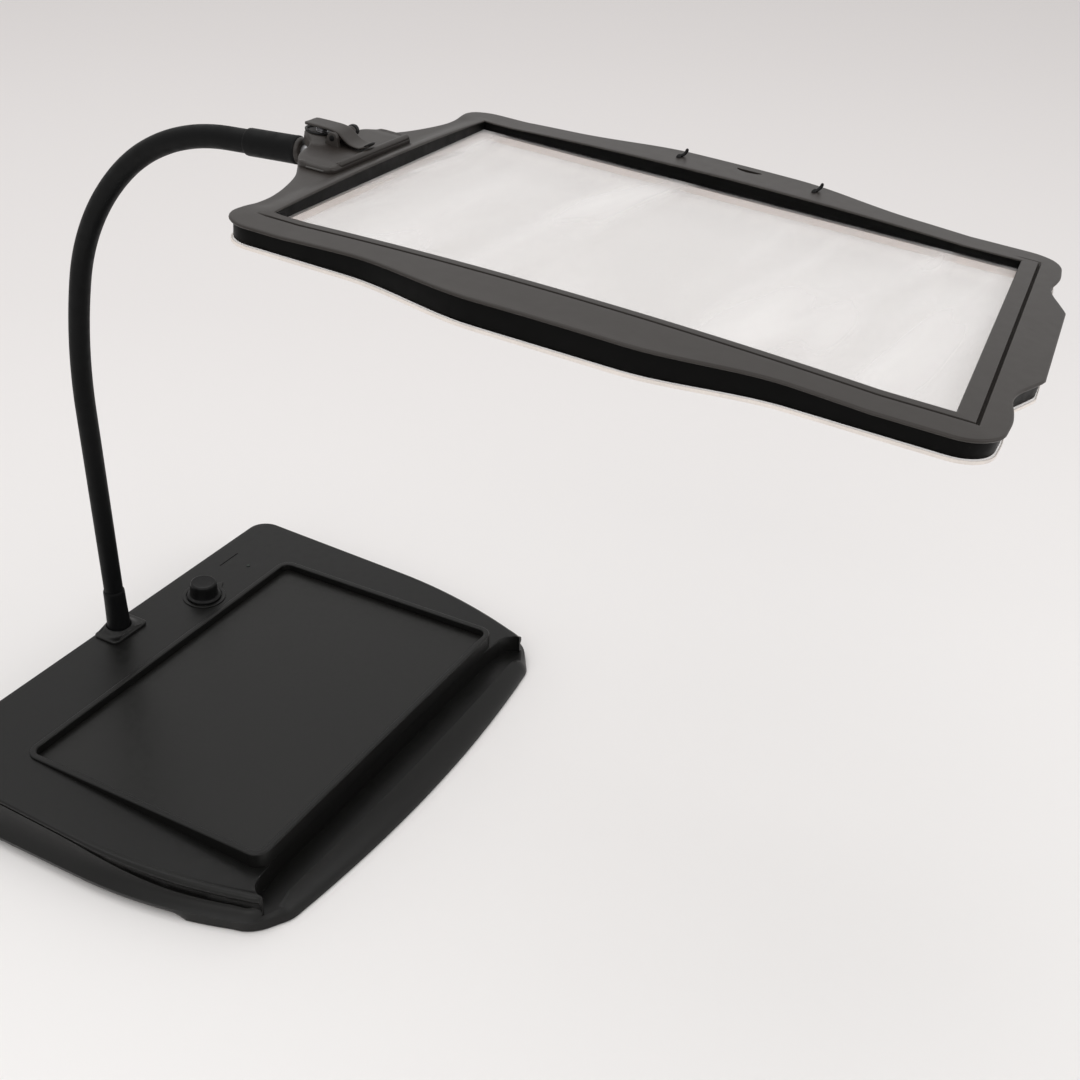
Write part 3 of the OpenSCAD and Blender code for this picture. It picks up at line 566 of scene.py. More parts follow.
def skirt_rows(x, y, n):
    """(outward, height) up the skirt at one point of the outline, from the table to the top of the wall."""
    flare = 7 * n.x * n.x
    upright = smooth01((-58 - y) / 10)
    rows = []
    for i in range(6):
        z = 0.8 + 6.2 * i / 5
        rolled = n.x * n.x + (flare - n.x * n.x) * math.sqrt(max(0.0, 1 - ((7 - z) / 6.2) ** 2))
        rows.append((mix(rolled, flare, upright), z))
    top = wall_top(y)
    for i in range(1, 11):
        u = i / 10
        rows.append((flare * (1 - u) ** 2.2, mix(7, top, u)))
    front = smooth01((-n.y - 0.2) / 0.65)
    out = []
    for i, (o, z) in enumerate(rows):
        s = i / (len(rows) - 1)
        out.append((mix(o, -12.4 * s ** 1.8, front), mix(z, 0.8 + 13.6 * s, front)))
    o, z = out[-1]
    return out + [(o - 0.45, z + 0.38 * front), (o - 1.1, z + 0.58 * front), (o - 3.0, z + 0.6 * front)]


skirt = Skin()
rows = [skirt_rows(x, y, n) for (x, y), n in zip(BASE, NORMAL)]
rings = []
for k in range(len(rows[0])):
    rings.append(skirt.ring([(x + n.x * r[k][0], y + n.y * r[k][0], r[k][1]) for (x, y), n,
                             r in zip(BASE, NORMAL, rows)]))
skirt.tube(rings)
skirt.fill([rings[0]])
skirt.fill([rings[-1]])
shell = solid("base_shell", skirt)

side_run = [p for p in half if p[1] > -107.5 and not (p[0] < 130 and p[1] < 0)]
deck_half = side_run + [(141.6, -109.2), (140.4, -110.6), (138.4, -111), (136, -110), (132.5, -107.4),
                        (128, -105.2), (122, -104.5)]
deck_half += [(110.0 * (1 - i / 8), -104.5) for i in range(9)]
DECK = closed_half(deck_half)
DECK_N = normals(DECK)
deck = Skin()


def deck_rows(x, y, n):
    f = smooth01((20 - y) / 80)
    r, lift, recess = 1.3 + 1.5 * f, 0.5 * f, 0.5 + 1.3 * f
    h = deck_z(y)
    out = [(r + 2.6, h), (r + 1.8, h + 0.3 * lift), (r + 0.9, h + 0.85 * lift)]
    out += [(d, h + lift - down) for d, down in rounded_edge(r, 6)]
    out += [(recess * (1 - math.cos(t)), h + lift - r - (r * 0.7 + 0.3) * math.sin(t))
            for t in (0.45, 0.9, 1.3, 1.57)]
    out += [(recess, wall_top(y) - 1.2), (recess + 2.5, 12.0 - 3 * f)]
    kept = 1.0 if y > -107.5 and n.y > -0.9 else 0.06
    return [(d * kept, z) for d, z in out]


drows = [deck_rows(x, y, n) for (x, y), n in zip(DECK, DECK_N)]
rings = []
for k in range(len(drows[0])):
    rings.append(deck.ring([(x - n.x * r[k][0], y - n.y * r[k][0], r[k][1]) for (x, y), n,
                            r in zip(DECK, DECK_N, drows)]))
deck.tube(rings)
deck.fill([rings[0]])
deck.fill([rings[-1]])
carve(shell, solid("deck", deck), "UNION")
tray_box = plate(rounded(-125, -95.3, 125, 79, 9, 10), [], 30, 13, 1.0, 0.1)
carve(shell, solid("tray", tray_box), "UNION")

scoop = [(127.0, -96.5)] + [(127 + 12 * math.sin(a), -107 + 10.5 * math.cos(a))
                            for a in (math.radians(6 * i) for i in range(1, 16))]
rear = scoop + [(146, -107.3), (156, -107.6)]
crest = [(x, -115 + x * x / 3500) for x in range(156, -1, -6)]


def trough_loop(flare):
    moved = [(x, y + flare * smooth01((x - 122) / 6)) for x, y in rear]
    return closed_half([(0.0, -95.33), (60.0, -95.33), (112.0, -95.33)] + moved + crest)


trough = lofted([(trough_loop(0), 8.0), (trough_loop(0), 18.9), (trough_loop(0.35), 19.7),
                 (trough_loop(1.0), 20.3), (trough_loop(1.1), 48)])
carve(shell, solid("trough", trough), "DIFFERENCE")
foot = 114 + 7 / math.tan(math.radians(24))
for s in (-1, 1):
    ramp_cut = Skin()
    cols = []
    ys = lambda x: -96.7 if x < 127 else -107 + 10.4 * math.sqrt(max(0.0,
            1 - ((x - 127) / 12) ** 2)) if x < 139 else -107.5
    for x in (114, 118, 122, 126, foot, 131, 133, 135, 137, 138.5, 139, 150, 190):
        low = max(8.0, 15.2 - (x - 114) * math.tan(math.radians(24)))
        cols.append(ramp_cut.ring([(s * x, -170, low), (s * x, ys(x), low), (s * x, ys(x), 70),
                                   (s * x, -170, 70)]))
    ramp_cut.tube(cols)
    ramp_cut.f += [tuple(cols[0]), tuple(cols[-1])]
    carve(shell, solid("ramp", ramp_cut), "DIFFERENCE")


def tray_loop(inset):
    return rounded(-125 + inset, -95.3 + inset, 125 - inset, 79 - inset, max(2.0, 9 - inset), 10)


floor_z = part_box("tray_panel")[0].z / MM
recess = lofted([(tray_loop(4), floor_z), (tray_loop(4), 29.0), (tray_loop(3.85), 29.5),
                 (tray_loop(3.4), 29.9), (tray_loop(2.9), 30.05), (tray_loop(2.9), 44)])
carve(shell, solid("recess", recess), "DIFFERENCE")
under = lofted([(offset(BASE, 9.5), -3), (offset(BASE, 9.5), 3.6)])
carve(shell, solid("under", under), "DIFFERENCE")
hollow = rounded(-139, -90, 139, 110, 12, 6)
carve(shell, solid("hollow", prism(hollow, 3, 17)), "DIFFERENCE")
hole = Skin()
hole.lathe([(0, 10), (1.6, 10), (1.6, 40), (0, 40)], 32, (104.8, 96))
carve(shell, solid("led_hole", hole), "DIFFERENCE")
line = Skin()
z_line = deck_z(112)
a = line.ring([(93.5, 111.6, z_line - 0.55), (113, 111.6, z_line - 0.55), (113, 112.3, z_line - 0.55),
               (93.5, 112.3, z_line - 0.55)])
b = line.ring([(93.5, 111.6, z_line + 2), (113, 111.6, z_line + 2), (113, 112.3, z_line + 2),
               (93.5, 112.3, z_line + 2)])
line.tube([a, b])
line.f += [tuple(a), tuple(b)]
carve(shell, solid("deck_line", line), "DIFFERENCE")
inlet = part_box("power_inlet")
inlet_mid = ((inlet[0].x + inlet[1].x) / 2 / MM, 21.0)
bore = Skin()
ra = [bore.ring([(inlet_mid[0] + r * math.cos(t), y, inlet_mid[1] + r * math.sin(t))
                 for t in (2 * math.pi * i / 40 for i in range(40))])
      for y, r in ((109.5, 5.0), (126.3, 5.0), (130, 6.4))]
bore.tube(ra)
bore.f += [tuple(ra[0]), tuple(ra[-1])]
carve(shell, solid("inlet_bore", bore), "DIFFERENCE")
for p in shell.data.polygons:
    p.use_smooth = True
shell.data.set_sharp_from_angle(angle=math.radians(30))
shell.data.materials.clear()
shell.data.materials.append(M["base_black"])
steady = shell.modifiers.new("steady", "WEIGHTED_NORMAL")
steady.keep_sharp = True
finish_piece(shell, "base", ["base_top"])


# --- gooseneck: one smooth black tube, cut where it passes from one joint to the next ---
p2, p3 = at("neck_mid_bend"), at("neck_top_bend")
BENDS = [(348.0, 14.4), (139.0, 33.75), (104.0, 41.85)]


def neck_path(step=2.0):
    """(s, z) along the neck from the deck up and forward to the ball."""
    pts = [(0.0, z) for z in (60, 62, 64, 67, 70)]
    pts += [(0.0, 70 + (191 - 70) * i / 60) for i in range(1, 61)]
    p, h = (0.0, 191.0), 0.0
    for r, turn_by in BENDS:
        n = max(4, int(r * math.radians(turn_by) / step))
        for i in range(1, n + 1):
            b = math.radians(h + turn_by * i / n)
            a = math.radians(h)
            pts.append((p[0] + r * (math.cos(a) - math.cos(b)), p[1] + r * (math.sin(b) - math.sin(a))))
        p, h = pts[-1], h + turn_by
    s_end = 137.5
    pts += [(p[0] + (s_end - p[0]) * i / 8, p[1]) for i in range(1, 9)]
    return pts


def world(s, z):
    return NECK + ahead * s + Vector((0, 0, z))


PATH = [world(*p) for p in neck_path()]


def tube_piece(name, start, end, r, blend_from, blend_to, stands_for):
    """The tube between two indexes of PATH."""
    skin, rings = Skin(), []
    for i in range(start, end + 1):
        before, after = PATH[max(0, i - 1)], PATH[min(len(PATH) - 1, i + 1)]
        t = (after - before).normalized()
        n = hinge.cross(t)
        turn = [2 * math.pi * k / 40 for k in range(40)]
        rings.append(skin.ring([PATH[i] + (hinge * math.cos(a) + n * math.sin(a)) * r for a in turn]))
    skin.tube(rings)
    obj = make(name, skin, M["sleeve_black"], None, ride=False, sharp=60)
    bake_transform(obj)
    finish_piece(obj, None, stands_for)
    return obj


def index_near(point):
    return min(range(len(PATH)), key=lambda i: (PATH[i] - point).length)


def along(i, length):
    """The index a length further along the path."""
    run, k = 0.0, i
    while 0 < k < len(PATH) - 1 and run < abs(length):
        k += 1 if length > 0 else -1
        run += (PATH[k] - PATH[k - 1 if length > 0 else k + 1]).length
    return k


i_low = index_near(world(0, 105))
i_mid, i_top = index_near(p2), index_near(p3)
cuts = [0, index_near(world(0, 90)), (i_low + i_mid) // 2, (i_mid + i_top) // 2, len(PATH) - 1]
R = 6.05
tube_piece("neck_tube_a", cuts[0], cuts[1], R, world(0, 65), world(0, 86),
           ["flex_sleeve_low"])
tube_piece("neck_tube_b", cuts[1], cuts[2], R, world(0, 93), world(0, 117),
           ["neck_sleeve_2"])
tube_piece("neck_tube_c", cuts[2], cuts[3], R,
           PATH[along(i_mid, -15)], PATH[along(i_mid, 15)], ["flex_sleeve_mid", "neck_sleeve_3"])
tube_piece("neck_tube_d", cuts[3], cuts[4], R,
           PATH[along(i_top, -15)], PATH[along(i_top, 15)], ["flex_sleeve_top", "neck_sleeve_4"])


def turned(name, profile, matrix, slot, body, stands_for=(), sides=72, sharp=38):
    skin = Skin()
    skin.lathe(profile, sides)
    return make(name, skin, M[slot], body, matrix, stands_for, sharp)


UP = Matrix.Translation(NECK * MM)
boot = [(6.1, 62.4), (6.45, 62.3), (6.75, 61.6), (6.85, 60.5), (6.9, 57), (7.05, 50), (7.3, 42), (7.55, 35),
        (7.6, 32.5), (7.6, 31.5), (5.2, 31.5), (5.2, 40), (5.6, 61), (6.1, 62.4)]
turned("boot_sleeve", boot, UP, "sleeve_black", "base", ["neck_boot"])

level = PATH[-1].z
ARM = Matrix.Translation(Vector((NECK.x, NECK.y, level)) * MM) @ Matrix((hinge, Vector((0, 0, 1)),
        ahead)).transposed().to_4x4()
ferrule = [(6.1, 134.6), (6.5, 134.7), (6.85, 135.3), (7.0, 136.2), (7.0, 150), (7.05, 162.6), (7.15, 163.4),
           (7.1, 164.6),
           (6.7, 165.2), (3.3, 165.2), (3.3, 158), (6.0, 157.6), (6.1, 134.6)]
turned("end_ferrule", ferrule, ARM, "sleeve_black", "neck_tip", ["neck_ferrule"])
collar = [(3.3, 165.2), (6.5, 165.2), (6.6, 165.6), (6.2, 166.5), (5.8, 167.2), (5.3, 167.55), (3.3, 167.6),
          (3.3, 165.2)]
turned("end_collar", collar, ARM, "frame_black", "neck_tip", ["neck_collar"])

# --- knob, its pointer and its dial ring ---
knob = [(3.0, 1.2), (3.0, 0.5), (10.9, 0.45), (11.5, 0.7), (11.6, 1.2), (11.35, 1.9), (10.4, 2.35),
        (9.75, 2.7), (9.55, 3.4),
        (9.3, 6), (9.0, 9), (8.8, 10.8), (8.6, 11.5), (8.1, 11.9), (7.3, 12.0), (6.9, 11.85), (6.6,
                11.8), (3.0, 11.78), (0, 11.76)]
turned("dimmer_grip", knob[:-1] + [(0, 11.76)], KNOB, "knob_black", "knob", ["dimmer_knob"], 96)
pointer = Skin()
rings = []
for x, w, z in [(8.0, 0.5, 12.0), (8.3, 0.55, 12.05), (9.35, 0.55, 8.2), (9.85, 0.5, 3.0)]:
    rings.append(pointer.ring([(x - 0.7, -w, z - 0.35), (x - 0.7, w, z - 0.35), (x + 0.12, w, z),
                               (x + 0.12, -w, z)]))
pointer.tube(rings)
pointer.f += [tuple(rings[0]), tuple(rings[-1])]
make("dimmer_pointer", pointer, M["frame_black"], "knob", KNOB)

half = math.degrees(math.asin(3.6 / 14.5))
ring_out = arc(0, 0, 14.5, half, 360 - half, 60) + resample([(14.07, -3.5), (20, -0.35), (20, 0.35),
        (14.07, 3.5)], 9)[1:-1]
dial = plate(ring_out, [arc(0, 0, 12.1, 0, 360, 64)[:-1]], 0.95, 0.0, 0.35, 0.05)
make("dial_plate", dial, M["base_black"], "base", KNOB, ["dial_ring"])

# --- head: bezel ---
OPEN_X, OPEN_Y = 106.5, 292.7
BULGE_Y = -140.0


def side_x(y):
    return 128 + 12 * smooth01((95 - abs(y - BULGE_Y)) / 65)


rear_half = curve_through([(0, 36), (14, 36), (25, 35.6), (33, 33), (41, 28.6), (52, 23), (64, 19),
                           (78, 15.6), (90, 14), (102, 14.4), (113, 15.6)], 6)
rear_half += arc(113, 0.6, 15, 90, 45, 8)[1:]
side = arc(113, 0.6, 15, 45, 0, 8) + [(side_x(y), y) for y in range(-12, -286, -4)] + arc(110, -294.5, 18, 0,
        -45, 8)
front_half = arc(110, -294.5, 18, -45, -90, 8)
front_half += curve_through([(110, -312.5), (98, -313.1), (88, -312.2), (77, -310.6), (67, -312.2),
                             (57, -316.0), (47.5, -319.6)], 6)[1:]
front_half += [(46.6, -320), (44, -320), (0, -320)]
NA, NB, NC = 44, 110, 44


def joined(a, b, c):
    """A closed loop from the three stretches of its right half and their mirror images."""
    right = resample(a, NA) + resample(b, NB)[1:] + resample(c, NC)[1:]
    return right + [(-x, y) for x, y in right[-2:0:-1]]


OUTLINE = joined(rear_half, side, front_half)


def opening(d):
    x, y0, y1 = OPEN_X + d, d, -OPEN_Y - d - 3.2 * smooth01((d - 0.8) / 3)
    return joined([(0, y0), (x, y0)], [(x, y0), (x, y1)], [(x, y1), (0, y1)])


def arch(x, y):
    """Rise of the frame towards the middle of its long sides and of its rear side."""
    along_side = max(0.0, 1 - ((y - BULGE_Y) / 124) ** 2) * smooth01((abs(x) - 100) / 8)
    along_rear = max(0.0, 1 - (x / 112) ** 2) * smooth01((y + 6) / 8)
    return max(along_side, along_rear)


def crown(x, y):
    out = max(clamp01((abs(x) - OPEN_X) / 26), clamp01(max(y, -OPEN_Y - y) / 26))
    front = mix(4.6 + 3.0 * arch(x, y), 3.7 + 3.4 * arch(x, y), out)
    rear = 3.7 + (0.9 + 3.0 * arch(x, y)) * (1 - smooth01(y / 11))
    return mix(front, rear, smooth01((y + 2) / 6) * smooth01((112 - abs(x)) / 14))


def groove(x, y):
    """The line round the rim runs along the left and front sides only."""
    left = smooth01((-x - 96) / 8) * smooth01((4.5 - y) / 6)
    front = smooth01((-y - OPEN_Y + 2) / 3) * smooth01((OPEN_X + 7 - x) / 5)
    return max(left, front)


bezel = Skin()
loops = [bezel.ring(opening(0.0), 0.02), bezel.ring(opening(0.0), 2.0)]
for d, down in ((0.0, 0.55), (0.12, 0.25), (0.4, 0.06), (0.8, 0.0), (2.4, 0.0), (4.2, 0.0), (4.6, 0.0)):
    loops.append(bezel.ring(opening(d), lambda x, y, down=down: crown(x, y) - down))
for d, deep in ((4.75, 0.3), (4.95, 1.6), (5.4, 2.0), (5.85, 1.6), (6.05, 0.4), (6.3, 0.05)):
    loops.append(bezel.ring(opening(d), lambda x, y, deep=deep: crown(x, y) - deep * groove(x, y)))
inner, outer = opening(6.6), offset(OUTLINE, 1.0)
for t in (0.0, 0.08, 0.18, 0.3, 0.42, 0.55, 0.68, 0.8, 0.91, 1.0):
    loops.append(bezel.ring([(mix(p[0], q[0], t), mix(p[1], q[1], t)) for p, q in zip(inner, outer)], crown))
for d, down in rounded_edge(1.0, 5)[1:]:
    loops.append(bezel.ring(offset(OUTLINE, d), lambda x, y, down=down: crown(x, y) - down))
loops += [bezel.ring(offset(OUTLINE, 0.35), lambda x, y: crown(x, y) - 1.5),
          bezel.ring(offset(OUTLINE, 3.2), lambda x, y: crown(x, y) - 1.6)]
loops += [bezel.ring(offset(OUTLINE, 3.4), 1.2), bezel.ring(opening(2.2), 1.2),
          bezel.ring(opening(2.0), 0.02)]
bezel.tube(loops + [loops[0]])
bezel_shell = make("bezel_shell", bezel, M["frame_black"], None, HEAD, ride=False, sharp=30)
wall_skin = Skin()
walls = [wall_skin.ring(opening(-0.12), 0.05),
         wall_skin.ring(opening(-0.12), lambda x, y: crown(x, y) - 0.75), wall_skin.ring(opening(0.3),
                 lambda x, y: crown(x, y) - 0.7),
         wall_skin.ring(opening(0.3), 0.05)]
wall_skin.tube(walls + [walls[0]])
make("opening_wall", wall_skin, M["skirt_black"], "head", HEAD)
KN = (0.0, 39.9, -1.55)


def head_tool(skin, shift=Matrix()):
    tool = solid("tool", skin)
    tool.data.transform(HEAD @ shift)
    return tool


def joint_room():
    """Round clearance for the ball through the rear edge of the head."""
    return head_tool(prism([(KN[0] + 10.2 * math.cos(t * math.pi / 30), KN[1]
                             + 10.2 * math.sin(t * math.pi / 30)) for t in range(60)], -30, 3.3))


def tilt_room(near, half, wide):
    """Space that a round part of the neck's end passes through as the head tilts up to its limit."""
    axis = HEAD.to_3x3().inverted() @ -ahead
    start, span = math.atan2(axis.z, axis.y), math.radians(26)
    at_angle = lambda u, v, a: (KN[1] + u * math.cos(a) - v * math.sin(a), KN[2] + u * math.sin(a)
                                + v * math.cos(a))
    side_loop = [at_angle(near, -half, start), at_angle(30, -half, start), at_angle(30, half, start + span),
                 at_angle(near, half, start + span)]
    side_loop += [at_angle(near, 0, start + span * (1 - i / 6)) for i in range(7)]
    return head_tool(prism(side_loop, -wide, wide), Matrix(((0, 0, 1), (1, 0, 0), (0, 1, 0))).to_4x4())


skirt_skin = Skin()
walls = [skirt_skin.ring(offset(OUTLINE, 1.9), lambda x, y: crown(x, y) - 1.55),
         skirt_skin.ring(offset(OUTLINE, 2.2), -4.6),
         skirt_skin.ring(offset(OUTLINE, 2.5), -5.1), skirt_skin.ring(offset(OUTLINE, 2.9),
                 -5.19), skirt_skin.ring(offset(OUTLINE, 3.6), -5.1),
         skirt_skin.ring(offset(OUTLINE, 3.3), lambda x, y: crown(x, y) - 1.58)]
skirt_skin.tube(walls + [walls[0]])
skirt_obj = make("skirt_wall", skirt_skin, M["skirt_black"], None, HEAD, ride=False)
carve(skirt_obj, joint_room(), "DIFFERENCE")
finish_piece(skirt_obj, "head", [])

# thumb slot pressed into the crown of the right-hand side
d_slot = [(132.2 - math.sin(math.radians(180 * i / 14)) * 4.8, -144.5
           + 7 * math.cos(math.radians(180 * i / 14))) for i in range(15)]
slot_cut = prism(d_slot, 5.2, 14)
slot_tool = solid("slot_tool", slot_cut)
slot_tool.data.transform(HEAD)
carve(bezel_shell, slot_tool, "DIFFERENCE")
for p in bezel_shell.data.polygons:
    p.use_smooth = True
bezel_shell.data.set_sharp_from_angle(angle=math.radians(30))
steady = bezel_shell.modifiers.new("steady", "WEIGHTED_NORMAL")
steady.keep_sharp = True
finish_piece(bezel_shell, "head", ["top_bezel"])

# a near-black floor set in the thumb slot: painted shade for the recess, darker than the frame round it
painted_shade_slot_floor = plate(offset(d_slot, 0.15), [], 5.5, 5.0, 0.1, 0.1)
make("painted_shade_slot_floor", painted_shade_slot_floor, M["knob_black"], "head", HEAD)

# --- clear cover under the head, with its bright cut edge ---
cover = plate(offset(OUTLINE, 1.6), [], -5.25, -6.75, 0.2, 0.2)
cover_obj = make("cover_sheet", cover, M["cover_clear"], None, HEAD, ride=False)
carve(cover_obj, joint_room(), "DIFFERENCE")
finish_piece(cover_obj, "head", ["bottom_cover"])
rim = plate(offset(OUTLINE, 1.2), [offset(OUTLINE, 1.75)], -5.3, -6.8, 0.2, 0.2)
rim_obj = make("cover_edge", rim, EDGE, None, HEAD, ride=False)
carve(rim_obj, joint_room(), "DIFFERENCE")
finish_piece(rim_obj, "head", [])

# --- bracket: plate swept up to the cup, ridge rod, ball ring and lugs ---


def bracket_top(x, y):
    d = min(41 - abs(x), y - 10, 34 - y * 0.25 - abs(x) * 0.2)
    r = math.hypot(x, y - KN[1])
    ridge = 0.55 * math.exp(-((d - 1.9) / 1.0) ** 2) * smooth01((r - 12) / 6)
    return 6.6 + ridge - 0.6 * smooth01((abs(x) - 30) / 9) + 3.4 * math.exp(-((max(0.0, r - 7.4)) / 4.4) ** 2)


right_part = arc(36, 15.5, 5, -90, 0, 8, 5.5) + curve_through([(41, 24), (39.5, 28.5), (36, 31.5),
        (30, 34.5), (22, 36.6), (13, 39), (9, 43.5), (5, 47), (0, 48)], 6)
bracket_loop = [(0.0, 10.0)] + resample(right_part, 70)
bracket_loop += [(-x, y) for x, y in bracket_loop[-2:0:-1]]
bracket = plate(bracket_loop, [], bracket_top, 3.4, 1.3, 0.3, step=1.3)
bracket_obj = make("bracket_shell", bracket, M["frame_black"], None, HEAD, ride=False,
                   sharp=44)
carve(bracket_obj, tilt_room(9.3, 7.4, 10.5), "DIFFERENCE")
ball_skin = Skin()
ball_skin.lathe([(0, -7.05)] + [(7.05 * math.cos(math.radians(a)), 7.05 * math.sin(math.radians(a)))
                                for a in range(-80, 81, 8)] + [(0, 7.05)], 48)
carve(bracket_obj, head_tool(ball_skin, Matrix.Translation(Vector(KN) * MM)), "DIFFERENCE")
carve(bracket_obj, tilt_room(3.0, 3.6, 3.6), "DIFFERENCE")
finish_piece(bracket_obj, "head", ["bracket_plate"])
band = plate(rounded(-41.3, 14.5, -38, 24.5, 0.9, 5), [], 5.0, 4.2, 0.25, 0.25)
make("bracket_inlay", band, PALE, "head", HEAD)
cup = [(9.2, 3.5), (9.0, 5.0), (8.5, 6.4), (8.05, 7.8), (8.1, 9.2), (8.5, 10.3), (8.45, 10.75), (8.0, 10.95),
       (7.3, 10.7),
       (6.9, 9.9), (6.7, 8.9), (6.5, 8.7), (5.0, 8.62), (0, 8.6)]
cup_skin = Skin()
cup_skin.lathe([(0, 3.4)] + cup, 72)
cup_obj = make("latch_cup", cup_skin, M["knob_black"], None,
               HEAD @ Matrix.Translation(Vector((0, KN[1], 0)) * MM), ride=False)
carve(cup_obj, tilt_room(9.3, 7.4, 10.5), "DIFFERENCE")
finish_piece(cup_obj, "head", [])
shell_ring = [(7.12 * math.sin(math.radians(a)), 7.12 * math.cos(math.radians(a)))
              for a in range(180, 73, -6)]
shell_ring += [(7.6, 2.35), (8.5, 2.55), (8.85, 2.45)]
shell_ring += [(9.2 * math.sin(math.radians(a)), 9.2 * math.cos(math.radians(a))) for a in range(78, 181, 6)]
shell_ring[0] = (0, -7.12)
shell_ring[-1] = (0, -9.2)
BACKWARD = Matrix(((1, 0, 0), (0, 0, 1), (0, -1, 0))).to_4x4()
turned("ball_ring_shell", shell_ring, HEAD @ Matrix.Translation(Vector(KN) * MM) @ BACKWARD, "frame_black",
       "head")
SIDEWAYS = Matrix(((0, 0, 1), (1, 0, 0), (0, 1, 0))).to_4x4()
rod = [(1.8 * math.sin(a), -31 - 1.8 * math.cos(a)) for a in (math.pi / 2 * i / 8 for i in range(9))]
rod += [(1.8 * math.cos(a), 36 + 1.8 * math.sin(a)) for a in (math.pi / 2 * i / 8 for i in range(9))]
rod[0], rod[-1] = (0, -32.8), (0, 37.8)
turned("bracket_rod", rod, HEAD @ Matrix.Translation(Vector((0, 12, 6.1)) * MM) @ SIDEWAYS, "frame_black",
       "head", sides=40)
lug = [(24.5, 4.4), (33.5, 4.4), (32.6, 7.5), (32.0, 10.4)] + arc(29, 10.4, 2.9, 0, 180,
        14)[1:] + [(25.4, 7.5)]
for s, name in ((-1, "lug_left"), (1, "lug_right")):
    piece = plate(lug, [], s * 8.3 + 1.3, s * 8.3 - 1.3, 0.45, 0.45)
    make(name, piece, M["frame_black"], "head", HEAD @ SIDEWAYS)
pin = [(0, -9.7), (1.0, -9.7), (1.45, -9.6), (1.5, -9.5), (1.5, 9.7), (2.5, 9.8), (3.0, 10.3), (3.05, 11.6),
       (2.8, 12.7),
       (2.1, 13.4), (1.0, 13.7), (0, 13.75)]
turned("pin_and_cap", pin, HEAD @ Matrix.Translation(Vector((0, 29, 10.6)) * MM) @ SIDEWAYS, "knob_black",
       "head", ["latch_pin"], 40)

# --- latch lever: a bent plate, flat over the cup, with a lifted tongue ---
spine = curve_through([(47.2, 13.35), (42, 13.5), (36, 13.55), (31, 13.4), (27.5, 12.5), (24.5, 10.6),
                       (21.5, 8.9), (18, 8.15), (15.5, 8.2),
                       (13.4, 9.0), (12.1, 10.1)], 5)
spine = resample(spine, 44)
lever = Skin()
rings = []
for i, (y, z) in enumerate(spine):
    u = i / (len(spine) - 1)
    a, b = spine[max(0, i - 1)], spine[min(len(spine) - 1, i + 1)]
    t = (Vector(b) - Vector(a)).normalized()
    n = Vector((-t.y, t.x))
    w = mix(6.4, 6.7, smooth01(u / 0.6))
    w *= math.sqrt(max(0.02, 1 - clamp01((u - 0.86) / 0.14) ** 2)) * math.sqrt(max(0.3,
            1 - clamp01((0.05 - u) / 0.07) ** 2))
    thick = mix(0.78, 0.55, smooth01((u - 0.5) / 0.4)) * (0.5 if i in (0, len(spine) - 1) else 1.0)
    turn = [2 * math.pi * k / 32 for k in range(32)]
    ring = []
    for c, s in ((math.cos(q), math.sin(q)) for q in turn):
        across = w * math.copysign(abs(c) ** 0.28, c)
        off = thick * math.copysign(abs(s) ** 0.5, s) + 0.22 * (1 - (across / w) ** 2)
        ring.append((across, y + n.x * off, z + n.y * off))
    rings.append(lever.ring(ring))
lever.tube(rings)
lever.f += [tuple(rings[0]), tuple(rings[-1])]
make("lever_plate", lever, M["frame_black"], "latch", HEAD, ["latch_lever"], 50)
hub = [(1.56, -6.3), (2.5, -6.3), (2.85, -5.9), (2.85, 5.9), (2.5, 6.3), (1.56, 6.3), (1.56, -6.3)]
turned("lever_hub", hub, HEAD @ Matrix.Translation(Vector((0, 29, 10.6)) * MM) @ SIDEWAYS, "frame_black",
       "latch", sides=40)
tip = Skin()
rings = []
for k in range(13):
    x = -5.4 + 10.8 * k / 12
    dy = 1.5 * (x / 6.0) ** 2
    r = 0.62 * math.sqrt(max(0.05, 1 - (x / 5.6) ** 2))
    turn = [2 * math.pi * i / 12 for i in range(12)]
    rings.append(tip.ring([(x, 12.2 + dy + r * math.cos(a), 10.1 - 0.4 * dy + r * math.sin(a))
                           for a in turn]))
tip.tube(rings)
tip.f += [tuple(rings[0]), tuple(rings[-1])]
make("lever_lip", tip, M["knob_black"], "latch", HEAD)


def swept(name, centre, radii, material, body, matrix, stands_for=(), sides=20):
    """A round bar along a path, with a radius at each point."""
    skin, rings = Skin(), []
    pts = [Vector(p) for p in centre]
    side = None
    for i, p in enumerate(pts):
        t = (pts[min(i + 1, len(pts) - 1)] - pts[max(i - 1, 0)]).normalized()
        side = (side - t * side.dot(t)).normalized() if side else t.orthogonal().normalized()
        n = t.cross(side)
        turn = [2 * math.pi * k / sides for k in range(sides)]
        rings.append(skin.ring([p + (side * math.cos(a) + n * math.sin(a)) * radii[i] for a in turn]))
    skin.tube(rings)
    skin.fan(rings[0], pts[0])
    skin.fan(rings[-1], pts[-1])
    return make(name, skin, material, body, matrix, stands_for)


for i, y in enumerate((-106.8, -182.0)):
    z0 = crown(125, y)
    path = curve_through([(123.0, y, z0 - 0.6), (123.1, y, z0 + 0.5), (124.1, y - 0.2, z0 + 0.95),
                          (126.3, y - 0.8, z0 + 0.75),
                          (128.0, y - 1.6, z0 + 1.2), (128.9, y - 2.3, z0 + 2.5), (129.2, y - 2.6, z0
                                  + 4.2)], 5)
    n = len(path)
    radii = [0.95 * math.sqrt(max(0.05, 1 - max(0, (k - (n - 4)) / 3.3) ** 2)) * mix(1.35, 0.95,
            smooth01(k / 12)) for k in range(n)]
    swept("hook_" + "ab"[i], path, radii, M["knob_black"], "head", HEAD, ["accessory_hooks"])

